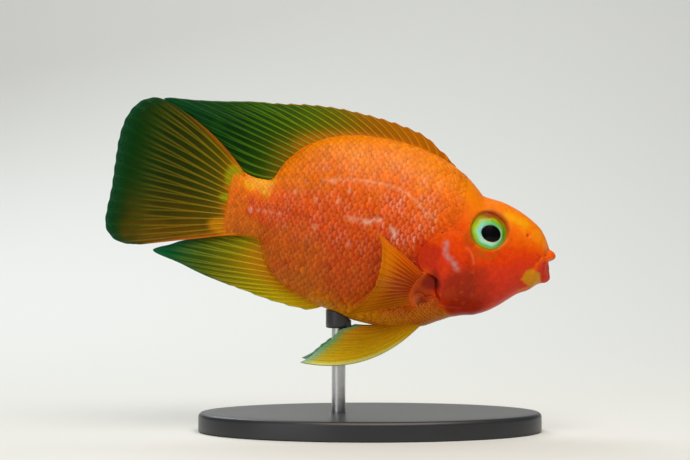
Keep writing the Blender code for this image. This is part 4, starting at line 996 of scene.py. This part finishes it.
# The fin on the back: thin skin stretched over hard spines in front and over branched soft rays
# behind, each a ridge on both faces. All fins are cast in tinted resin and let into the flesh.
DORSAL_RIM = [
    (26.8, 28.4), (25.0, 30.5), (20, 33.7), (13, 38.0), (4, 40.2), (-4, 41.3), (-12, 41.9),
    (-20, 42.2), (-30, 41.6), (-40, 40.2), (-50, 39.1), (-60, 37.4), (-70, 36.0), (-81.5, 34.5),
    (-75, 30.0), (-66, 24.9), (-60, 21.4), (-55, 18.4),
]
DORSAL_FOOT = (26.0, -41.0)
DORSAL_SPINES, DORSAL_RAYS = 16, 28
MEMBRANE, RIM = 0.42, 0.3
FIN_ASIDE = 3.2


def foot_along(line, front_x, rear_x, depth):
    """The line along which a long fin leaves the body, depth mm inside its outline."""
    x = np.linspace(front_x, rear_x, 160)
    edge = path_through(np.stack([x, line(x)], -1)[::4])(np.linspace(0, 1, 160))
    along = np.gradient(edge, axis=0)
    along /= np.linalg.norm(along, axis=1, keepdims=True)
    inward = np.stack([-along[:, 1], along[:, 0]], -1)
    inward *= np.sign((inward * (np.array([0, 2.0]) - edge)).sum(axis=1).mean())
    return path_through((edge + inward * depth)[::4])


def raise_rays(middle, share, along, rays, split, wave, sizes, sharpness=1.0):
    """Waves the sheet between its rays; gives their ridges (0 to 1) and its half thickness.

    Each ray is a bell across the fin that forks twice towards the rim; split (0 to 1) is how far
    its branches spread, none for spines. The membrane is thin, and sizes are how thick the
    fleshy root is, how far it reaches (as a share), and how high the rays stand.
    """
    middle[..., 1] += wave * np.sin(2 * math.pi * share * (rays - 1))[:, None] * along
    place = share[:, None] * (rays - 1)
    off = place - np.round(place)
    first = 0.19 * ramp(along, 0.22, 0.75) * split
    second = 0.1 * ramp(along, 0.5, 0.95) * split
    width = (0.115 - 0.05 * along * split) * sharpness
    ridge = 0.0
    for one, two in ((-1, -1), (-1, 1), (1, -1), (1, 1)):
        ridge = np.maximum(ridge, bell(off - one * first - two * second, width))
    root, reach, height = sizes
    web = MEMBRANE + (RIM - MEMBRANE) * along
    flesh = (root - web) * bell(along, reach)
    half = web / 2 + height * (1 - 0.7 * along) * ridge + flesh / 2
    return ridge, half * (1 - 0.55 * ramp(along, 0.975, 1.0))


def scalloped(tip, root, share, rays, depth):
    """Draws the rim in between the rays by sin^2, so that each ray's end stands out."""
    span = root - tip
    span /= np.linalg.norm(span, axis=-1, keepdims=True)
    hollow = np.sin(math.pi * share * (rays - 1)) ** 2
    return tip + span * (hollow * depth)[:, None]


def ray_sheet(root, tip, bow, aside, along):
    """Rays from root to tip (x, z), bowed by 4t(1 - t) and set aside by t^2 towards the rim."""
    t = along[None, :, None]
    span = tip - root
    beside = np.stack([-span[:, 1], span[:, 0]], -1)
    beside /= np.linalg.norm(beside, axis=1, keepdims=True)
    flat = root[:, None] * (1 - t) + tip[:, None] * t
    flat = flat + beside[:, None] * bow[:, None, None] * 4 * t * (1 - t)
    return np.stack([flat[..., 0], aside[:, None] * along**2, flat[..., 1]], -1)


def fin_slab(middle, half):
    """A closed sheet of half thickness half on both sides of a grid, with its rim closed."""
    normal = np.cross(np.gradient(middle, axis=0), np.gradient(middle, axis=1))
    normal /= np.maximum(np.linalg.norm(normal, axis=-1, keepdims=True), 1e-9)
    offset = normal * half[..., None]
    front = np.arange(half.size).reshape(half.shape)
    rim = np.concatenate([front[:-1, 0], front[-1, :-1], front[:0:-1, -1], front[0, :0:-1]])
    after = np.roll(rim, -1)
    face = np.stack([front[:-1, :-1], front[1:, :-1], front[1:, 1:], front[:-1, 1:]], -1)
    face = face.reshape(-1, 4)
    border = np.stack([after, rim, rim + front.size, after + front.size], -1)
    points = np.concatenate([middle + offset, middle - offset]).reshape(-1, 3)
    return points, [face, (face + front.size)[:, ::-1], border]


def fin_piece(name, node, side, middle, half, paint, alpha):
    """Makes a fin with the same colours and opacity on both of its faces."""
    points, faces = fin_slab(middle, half)
    colours = np.concatenate([paint, alpha[..., None]], -1).reshape(-1, 4)
    fin = put_mesh(name, on_side(points, side), faces, fin_resin, np.vstack([colours, colours]))
    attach(fin, "root")
    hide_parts(node)


def over_web(web, rays, strength):
    """The rays' colours laid over the web's, as thickly as strength says."""
    return web * (1 - strength[..., None]) + rays * strength[..., None]


# Tinted resin like wet fin skin: lets some light through where it is thin, glossy all over.
fin_resin, tree, shader, mottle = mottled(
    "tinted_fin_resin", (1100.0, 4.0), ((0.5, 0.82), (0.5, 1.16)),
    {
        "Roughness": 0.42, "IOR": 1.38, "Specular IOR Level": 0.09, "Coat Weight": 0.03,
        "Coat Roughness": 0.12, "Subsurface Weight": 0.15, "Subsurface Scale": 0.001,
        "Subsurface Radius": (0.8, 0.7, 0.2),
    },
)
opacity = add(tree, "Attribute", {"attribute_name": "markings"}, out="Alpha")
feed(shader, {"Alpha": opacity, "Normal": bump(tree, 0.25, 0.00002, mottle)})

share = np.linspace(0, 1, (DORSAL_RAYS - 1) * 16 + 1)
along = np.linspace(0, 1, 44) ** 0.94
last_spine = (DORSAL_SPINES - 1) / (DORSAL_RAYS - 1)
foot = foot_along(back, *DORSAL_FOOT, 1.0)(np.interp(share, [0, last_spine, 1], [0, 0.635, 1]))
rim = path_through(DORSAL_RIM)(np.interp(share, [0, 0.08, last_spine, 1], [0.0, 0.1, 0.53, 1]))
rim = scalloped(rim, foot, share, DORSAL_RAYS, np.where(share < last_spine, 0.75, 0.25))
bow = np.interp(share, [0, last_spine, 0.84, 1], [-0.4, -1.0, -0.3, 4.0])
middle = ray_sheet(foot, rim, bow, FIN_ASIDE * share**2, along)
soft = ramp(share, last_spine, last_spine + 0.02)[:, None]
sizes = (1.7, 0.12, 0.24 + 0.06 * (1 - soft))
ridge, half = raise_rays(middle, share, along, DORSAL_RAYS, soft, 0.12, sizes)

x, z = middle[..., 0], middle[..., 2]
web = levels(
    -x, (-25, -8, 6, 18, 28, 38, 50, 62, 78),
    "#b86402 #a86402 #905c02 #606002 #445c02 #284802 #0c2c02 #022c08 #023c18",
)
near_flesh = bell(along, 0.2)
web = lay(
    web,
    ("#c06a02", 0.8 * near_flesh * ramp(x, -44, -26)),
    ("#585002", 0.6 * near_flesh * ramp(-x, 30, 38)),
    ("#a86004", 0.5 * ramp(x, -24, 0) * ramp(along, 0.5, 1)),
    ("#1c4806", 0.35 * ramp(waves(x, z, 41, 9), 0.1, 1.4) * ramp(-x, 20, 40)),
)
rays = levels(
    -x, (-25, 0, 14, 30, 44, 58, 72, 80),
    "#e08a06 #cc8a04 #b89404 #8a9804 #568404 #245c08 #0a4c20 #085830",
)
edge = ramp(along, 0.955, 0.99)
paint = lay(
    over_web(web, rays, 0.85 * ridge),
    ("#c87420", 0.7 * edge * ramp(x, -56, -36)),
    ("#7c8c60", 0.35 * edge * ramp(-x, 34, 44) * ramp(x, -74, -60)),
)
alpha = 1 - 0.04 * ramp(-x, 30, 75) * (1 - ridge) - 0.06 * edge
fin_piece("dorsal_fin_skin", "dorsal_fin", 1, middle, half, paint, alpha)


# The fin under the tail: five short spines and ten soft rays, a shorter copy of the one above.
# A small white papilla stands in front of it.
ANAL_RIM = [
    (-12.5, -30.9), (-19, -31.7), (-27, -31.1), (-34, -30.2), (-42, -28.6), (-50, -27.1),
    (-58, -25.3), (-66, -22.9), (-76, -20.2), (-71, -17.2), (-64, -13.8), (-56, -10.9),
    (-49, -9.9),
]
ANAL_FOOT = (-11.2, -39.4)
ANAL_SPINES, ANAL_RAYS = 5, 15

share = np.linspace(0, 1, (ANAL_RAYS - 1) * 18 + 1)
along = np.linspace(0, 1, 44) ** 0.94
foot = foot_along(belly, *ANAL_FOOT, 1.0)(share)
rim = path_through(ANAL_RIM)(0.06 + 0.94 * share)
spiny = share < ANAL_SPINES / ANAL_RAYS
rim = scalloped(rim, foot, share, ANAL_RAYS, np.where(spiny, 0.8, 0.2))
bow = np.interp(share, [0, 0.4, 0.85, 1], [0.3, 0.8, -0.1, -0.6])
middle = ray_sheet(foot, rim, bow, FIN_ASIDE * share, along)
soft = ramp(share, 0.27, 0.33)[:, None]
ridge, half = raise_rays(middle, share, along, ANAL_RAYS, soft, 0.1, (1.7, 0.12, 0.26))

x, z = middle[..., 0], middle[..., 2]
web = levels(
    -x, (10, 24, 36, 48, 58, 68, 76), "#d8a402 #c8ac02 #9c9002 #6c6c02 #3c5004 #044c20 #045c34"
)
web = lay(web, ("#c46c02", 0.85 * bell(along, 0.25)))
rays = levels(-x, (10, 30, 42, 56, 70), "#f0c004 #e8c404 #c4ac04 #74800c #0c6430")
from_rim = (1 - along) * np.linalg.norm(rim - foot, axis=1)[:, None]
front_part = ramp(x, -52, -40)
edge = bell(from_rim, 1.1 + 1.3 * (1 - front_part))
paint = lay(
    over_web(web, rays, 0.8 * ridge),
    ("#98b84c", 0.7 * edge * front_part),
    ("#0e6844", 0.8 * edge * (1 - front_part)),
)
alpha = 1 - 0.08 * edge - 0.03 * ramp(-x, 40, 70) * (1 - ridge)
fin_piece("anal_fin_skin", "anal_fin", 1, middle, half, paint, alpha)

papilla = [
    level_ring(-9.3 - 0.3 * low, wide, wide, -29.6 - low, full_turn(24))
    for wide, low in ((1.2, 0), (1.1, 0.9), (0.85, 1.5), (0.6, 2.0), (0.3, 2.35))
]
points, faces = tube(np.stack(papilla))
paint = levels(-points[:, 2], (29.6, 31.2, 32), "#c0700e #d8c8a0 #ecebe0")
vent = put_mesh("vent_papilla", on_side(points, 1), faces, body_skin, paint)
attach(vent, "root")


# The tail fin: seventeen branched rays spread from the tail's root to a nearly straight rim,
# with a clear margin along it.
CAUDAL_TOP, CAUDAL_BOTTOM = (-47.6, 12.4), (-47.6, -9.2)
CAUDAL_RIM = [
    (-80.5, 34.0), (-84, 34.3), (-88, 32.8), (-91, 29.8), (-93.4, 24.5), (-94.4, 17.5),
    (-94.3, 9), (-94, 0), (-94.3, -8), (-94.1, -13), (-92.8, -16), (-90, -18.4), (-86, -19.3),
    (-81, -18.8),
]
CAUDAL_RAYS = 17

share = np.linspace(0, 1, (CAUDAL_RAYS - 1) * 20 + 1)
along = np.linspace(0, 1, 64)
foot = np.array(CAUDAL_TOP) + (np.array(CAUDAL_BOTTOM) - np.array(CAUDAL_TOP)) * share[:, None]
rim = path_through(CAUDAL_RIM)(share)
rim = scalloped(rim, foot, share, CAUDAL_RAYS, np.full(len(share), 0.2))
middle = ray_sheet(foot, rim, -2.4 * (1 - share) ** 2, 0 * share, along)
ridge, half = raise_rays(middle, share, along, CAUDAL_RAYS, 1.0, 0.14, (2.4, 0.1, 0.26))

x, z = middle[..., 0], middle[..., 2]
place = share[:, None]
lower = ramp(place, 0.45, 1.0)
web = levels(
    -x, (48, 52, 58, 66, 76, 84, 88, 91, 95),
    "#b86202 #805c02 #4c4802 #2c3402 #1c2a02 #143002 #083402 #02380c #023c18",
)
web = lay(
    web,
    ("#6a4a02", 0.8 * lower * ramp(x, -92, -84)),
    ("#b06c02", 0.85 * ramp(place, 0.8, 1.0) * ramp(x, -72, -50)),
    ("#183002", 0.5 * ramp(waves(x, z, 43, 11), 0.2, 1.5) * ramp(-x, 54, 64)),
)
rays = levels(
    -x, (48, 54, 62, 72, 82, 88, 92), "#dc8204 #bc9006 #8e7806 #6a6006 #3e4c06 #1c4608 #0a4c24"
)
rays = lay(rays, ("#a06c06", 0.6 * lower * ramp(x, -86, -74)))
from_rim = (1 - along) * np.linalg.norm(rim - foot, axis=1)[:, None]
edge = 1 - ramp(from_rim + 0.2 * waves(x, z, 45, 12), 1.4, 5.4)
paint = lay(
    over_web(web, rays, 0.85 * ridge * ramp(x, -90, -80)),
    ("#b85a02", 0.85 * ramp(place, 0.93, 0.985) * ramp(x, -86, -58)),
    ("#b06004", 0.75 * (1 - ramp(place, 0.015, 0.06)) * ramp(x, -76, -56)),
    ("#d08c04", 0.7 * spot_at(x, z, (-52.5, -7.0), (6.0, 3.2))),
    ("#d47604", 0.9 * ramp(x, -55 + 1.4 * waves(x, z, 44, 4), -50.5)),
    ("#949c04", 0.75 * spot_at(x, z, (-52.0, 11.4), (3.2, 4.4))),
    ("#949c04", 0.75 * spot_at(x, z, (-53.0, 3.2), (3.0, 1.6))),
    ("#023e14", 0.7 * edge),
    ("#085038", 0.55 * (1 - ramp(from_rim, 0.2, 1.6))),
)
alpha = 1 - 0.03 * ramp(-x, 60, 86) * (1 - ridge) - 0.06 * edge
fin_piece("tail_fin_skin", "caudal_fin", 1, middle, half, paint, alpha)


# The pelvic fins: a pair under the breast, each a stout spine and soft rays that trail to a
# thread, swept back and out.
PELVIC_ROOT_X, PELVIC_ROOT_Y = (24.3, 13.6), (4.4, 3.4)
PELVIC_RIM = [
    (-16.5, -49.9), (-13.2, -47.3), (-10.8, -44.2), (-7.2, -40.2), (-5, -36.8), (0.5, -34.0),
]
PELVIC_RAYS = 9

share = np.linspace(0, 1, (PELVIC_RAYS - 1) * 20 + 1)
along = np.linspace(0, 1, 48)
root_x = PELVIC_ROOT_X[0] + (PELVIC_ROOT_X[1] - PELVIC_ROOT_X[0]) * share
root_y = PELVIC_ROOT_Y[0] + (PELVIC_ROOT_Y[1] - PELVIC_ROOT_Y[0]) * share
level = widest_level(root_x)
under = (1 - (root_y / half_width(root_x)) ** BELLY_ROUNDNESS) ** (1 / BELLY_ROUNDNESS)
root_z = level - (level - belly(root_x)) * under
foot = np.stack([root_x, root_y, root_z + 0.9], -1)
flat_rim = path_through(PELVIC_RIM)(share)
flat_rim = scalloped(flat_rim, foot[:, [0, 2]], share, PELVIC_RAYS, 0.5 * ramp(share, 0.1, 0.3))
rim = np.stack([flat_rim[:, 0], 12.5 - 7.9 * share**0.8, flat_rim[:, 1]], -1)
bow = 6.6 - 6.1 * share**0.7
t = along[None, :, None]
span = rim - foot
beside = np.stack([span[:, 2], 0 * share, -span[:, 0]], -1)
beside /= np.linalg.norm(beside, axis=1, keepdims=True)
middle = foot[:, None] * (1 - t) + rim[:, None] * t
middle = middle - beside[:, None] * bow[:, None, None] * 4 * t * (1 - t)
soft = ramp(share, 0.08, 0.16)[:, None]
ridge, half = raise_rays(middle, share, along, PELVIC_RAYS, soft, 0.0, (1.5, 0.08, 0.3))

place = share[:, None]
web = levels(along, (0, 0.15, 0.5, 0.8, 1), "#d88c02 #d49a02 #c89802 #bc9402 #809c20")
web = lay(
    web,
    ("#b06002", 0.7 * ramp(place, 0.35, 0.9)),
    ("#d0b402", 0.6 * (1 - ramp(place, 0.12, 0.4))),
)
rays = levels(along, (0, 0.4, 0.8, 1), "#dc8404 #dca004 #d09c06 #a8a838")
edge = bell((1 - along) * np.linalg.norm(span, axis=1)[:, None], 1.9)
paint = lay(
    over_web(web, rays, 0.75 * ridge),
    ("#c8d878", 0.7 * (1 - ramp(place, 0.02, 0.09)) * ramp(along, 0.1, 0.3)),
    ("#50a078", 0.85 * edge),
    ("#b8dcd0", 0.35 * edge * (1 - ramp(place, 0.1, 0.5))),
)
alpha = 1 - 0.15 * edge
for side_name, side in SIDES:
    name, node = f"pelvic_fin_skin_{side_name}", f"pelvic_fin_{side_name}"
    fin_piece(name, node, side, middle, half, paint, alpha)


# The pectoral fins: clear orange fans that grow from the fleshy lobes behind the gill openings,
# cupped and held a little off the flank.
PECTORAL_RIM = [
    (1.8, 0.5), (4.4, -3.2), (5.2, -8), (5.2, -13), (4.6, -18.2), (2.4, -23.2), (-0.8, -27.3),
    (-4.2, -30.6),
]
PECTORAL_REACH = [(0, 19.0), (0.2, 26.0), (0.45, 31.0), (0.7, 27.0), (1, 15.5)]
PECTORAL_RAYS = 16

share = np.linspace(0, 1, (PECTORAL_RAYS - 1) * 18 + 1)
along = np.linspace(0, 1, 48)
foot_x, foot_z = (path_through(LOBE)(0.04 + 0.92 * share) - [0.5, 0]).T
foot, _ = on_flank(foot_x, foot_z, 0.55 + 0 * share)
flat_rim = path_through(PECTORAL_RIM)(share)
flat_rim = scalloped(flat_rim, foot[:, [0, 2]], share, PECTORAL_RAYS, np.full(len(share), 0.25))
reach = line_through(PECTORAL_REACH)(share)
rim = np.stack([flat_rim[:, 0], reach, flat_rim[:, 1]], -1)
t = along[None, :, None]
middle = foot[:, None] * (1 - t) + rim[:, None] * t
middle[..., 1] += 1.2 * 4 * along * (1 - along)
ridge, half = raise_rays(middle, share, along, PECTORAL_RAYS, 1.0, 0.0, (1.5, 0.1, 0.24), 1.4)

place = share[:, None]
web = levels(along, (0, 0.2, 0.5, 0.75, 1), "#b03602 #ac3a02 #b04002 #c05a02 #cc7202")
web = lay(
    web,
    ("#b47002", 0.65 * ramp(place, 0.55, 1.0)),
    ("#d05602", 0.55 * (1 - ramp(place, 0.0, 0.3))),
)
rays = levels(along, (0, 0.3, 0.7, 1), "#d45802 #e07004 #e07e06 #dc8406")
paint = over_web(web, rays, (0.8 - 0.45 * ramp(along, 0.75, 1)) * ridge)
alpha = 1 - 0.3 * ramp(along, 0.86, 1.0) * (1 - 0.5 * ridge)
for side_name, side in SIDES:
    name, node = f"pectoral_fin_skin_{side_name}", f"pectoral_fin_{side_name}"
    fin_piece(name, node, side, middle, half, paint, alpha)


# The rod and saddle: a brushed stainless pin stands in the base and carries a lacquered cup
# that is dished to the belly, so that the fish rests in it without a screw showing.
ROD_RADIUS, SADDLE_RADIUS, SADDLE_HEIGHT = 2.5, 4.6, 5.0
ROD_AT = -6.0
rod_x = ROD_AT * math.cos(NOSE_DOWN) + belly(ROD_AT) * math.sin(NOSE_DOWN)
saddle_low = FISH_HEIGHT + belly(ROD_AT) * math.cos(NOSE_DOWN) - ROD_AT * math.sin(NOSE_DOWN)
saddle_low -= SADDLE_HEIGHT


def under_belly(x, y):
    """Height of the belly over a place on the floor, by six steps towards where both agree."""
    cos, sin = math.cos(NOSE_DOWN), math.sin(NOSE_DOWN)
    z = belly(x)
    for _ in range(6):
        along = (x - z * sin) / cos
        level = widest_level(along)
        share = np.clip(np.abs(y) / half_width(along), 0, 1)
        z = level - (level - belly(along)) * (1 - share**BELLY_ROUNDNESS) ** (1 / BELLY_ROUNDNESS)
    return FISH_HEIGHT + z * cos - along * sin


turn = full_turn(72)
base_top = BASE_THICKNESS * 1000
rod = [
    level_ring(rod_x, ROD_RADIUS, ROD_RADIUS, level, turn)
    for level in (base_top - 0.2, base_top + 4, 20, 30, saddle_low + 0.4)
]
cup = [
    level_ring(rod_x, wide, wide, saddle_low + low, turn)
    for wide, low in ((0.3, 0), (4.0, 0), (4.35, 0.1), (SADDLE_RADIUS, 0.4), (SADDLE_RADIUS, 2.0))
]
for wide, drop in (
    (SADDLE_RADIUS, 0.9), (SADDLE_RADIUS, 0.65), (4.45, 0.45), (4.2, 0.36), (3.0, 0.36),
    (1.5, 0.36), (0.3, 0.36),
):
    below = under_belly(rod_x + wide * np.cos(turn), wide * np.sin(turn)) - drop
    cup.append(level_ring(rod_x, wide, wide, below, turn))

# Stainless steel drawn through a belt: hairlines run round it, one every few tenths of a mm.
steel_look = {"Metallic": 1.0, "Roughness": 0.3, "Base Color": linear("#c9cacc")}
steel, tree, shader = new_material("brushed_steel", steel_look)
spot = add(tree, "TexCoord", out="Object")
stretch = add(tree, "Mapping", {"Scale": (0.05, 0.05, 1.0)}, {"Vector": spot})
hair = add(tree, "TexNoise", {"Scale": 3000.0, "Detail": 2.0}, {"Vector": stretch})
rough = add(tree, "MapRange", {"To Min": 0.22, "To Max": 0.4}, {"Value": hair})
feed(shader, {"Roughness": rough, "Normal": bump(tree, 0.3, 0.00002, hair)})

pin = put_mesh("stand_pin", *tube(np.stack(rod) * 0.001), steel, sharp=40)
saddle = put_mesh("belly_saddle", *tube(np.stack(cup) * 0.001), lacquer, sharp=50)
for piece, node, slot in (
    (pin, "stand_rod", "brushed_steel"), (saddle, "stand_saddle", "charcoal_lacquer"),
):
    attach(piece, "root")
    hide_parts(node)


# The room: a pale floor that sweeps up into a backdrop, soft studio lamps, and the camera level
# with the fish on its right side.
SWEEP_START, SWEEP_RADIUS = 0.35, 1.5
turn = np.linspace(0, math.pi / 2, 48)
floor_y = np.concatenate([[-2.5, -1.2, -0.5, 0.0], SWEEP_START + SWEEP_RADIUS * np.sin(turn)])
floor_z = np.concatenate([np.zeros(4), SWEEP_RADIUS * (1 - np.cos(turn))])
floor_x = np.linspace(-3.0, 3.0, 9)
floor_y, across = np.meshgrid(floor_y, floor_x, indexing="ij")
floor_grid = np.stack([across, floor_y, floor_z[:, None] + 0 * across], -1)
ring = np.arange(across.size).reshape(across.shape)
floor_quads = np.stack([ring[:-1, :-1], ring[:-1, 1:], ring[1:, 1:], ring[1:, :-1]], -1)

# Matt backdrop paper: even and pale, with no gloss.
paper_look = {"Base Color": linear("#e2e4e1"), "Roughness": 0.9, "Specular IOR Level": 0.1}
paper, tree, shader = new_material("backdrop_paper", paper_look)
floor = put_mesh("backdrop", floor_grid.reshape(-1, 3), [floor_quads.reshape(-1, 4)], paper)

scene = bpy.context.scene
scene.view_settings.view_transform = "Standard"
world = bpy.data.worlds.new("studio")
scene.world = world
world.use_nodes = True
sky = world.node_tree.nodes["Background"].inputs
sky["Color"].default_value, sky["Strength"].default_value = linear("#e8eef2"), 0.11


def lamp(name, place, size, watts, aim, colour):
    """A square soft box that points from its place to aim."""
    light = bpy.data.lights.new(name, "AREA")
    light.shape, light.size, light.energy = "SQUARE", size, watts
    light.color = linear(colour)[:3]
    made = bpy.data.objects.new(name, light)
    scene.collection.objects.link(made)
    made.location = place
    made.rotation_euler = (Vector(aim) - Vector(place)).to_track_quat("-Z", "Y").to_euler()


lamp("key_above", (0.1, -0.45, 0.95), 0.9, 11.0, (0, 0, 0.06), "#fff8ee")
lamp("fill_camera_side", (-0.7, -0.9, 0.3), 0.7, 2.2, (0, 0, 0.07), "#ffffff")
lamp("backdrop_wash", (0, 0.75, 1.3), 1.0, 7.5, (0, 1.75, 0.3), "#ffffff")
lamp("rim_behind", (-0.4, 0.6, 0.7), 0.5, 3.0, (0, 0, 0.08), "#f2f8ff")

view = bpy.data.cameras.new("camera")
view.lens, view.sensor_width = 101.0, 36.0
camera = bpy.data.objects.new("camera", view)
scene.collection.objects.link(camera)
camera.location = (-0.009, -0.70, 0.0727)
camera.rotation_euler = (math.pi / 2, 0, 0)
scene.camera = camera
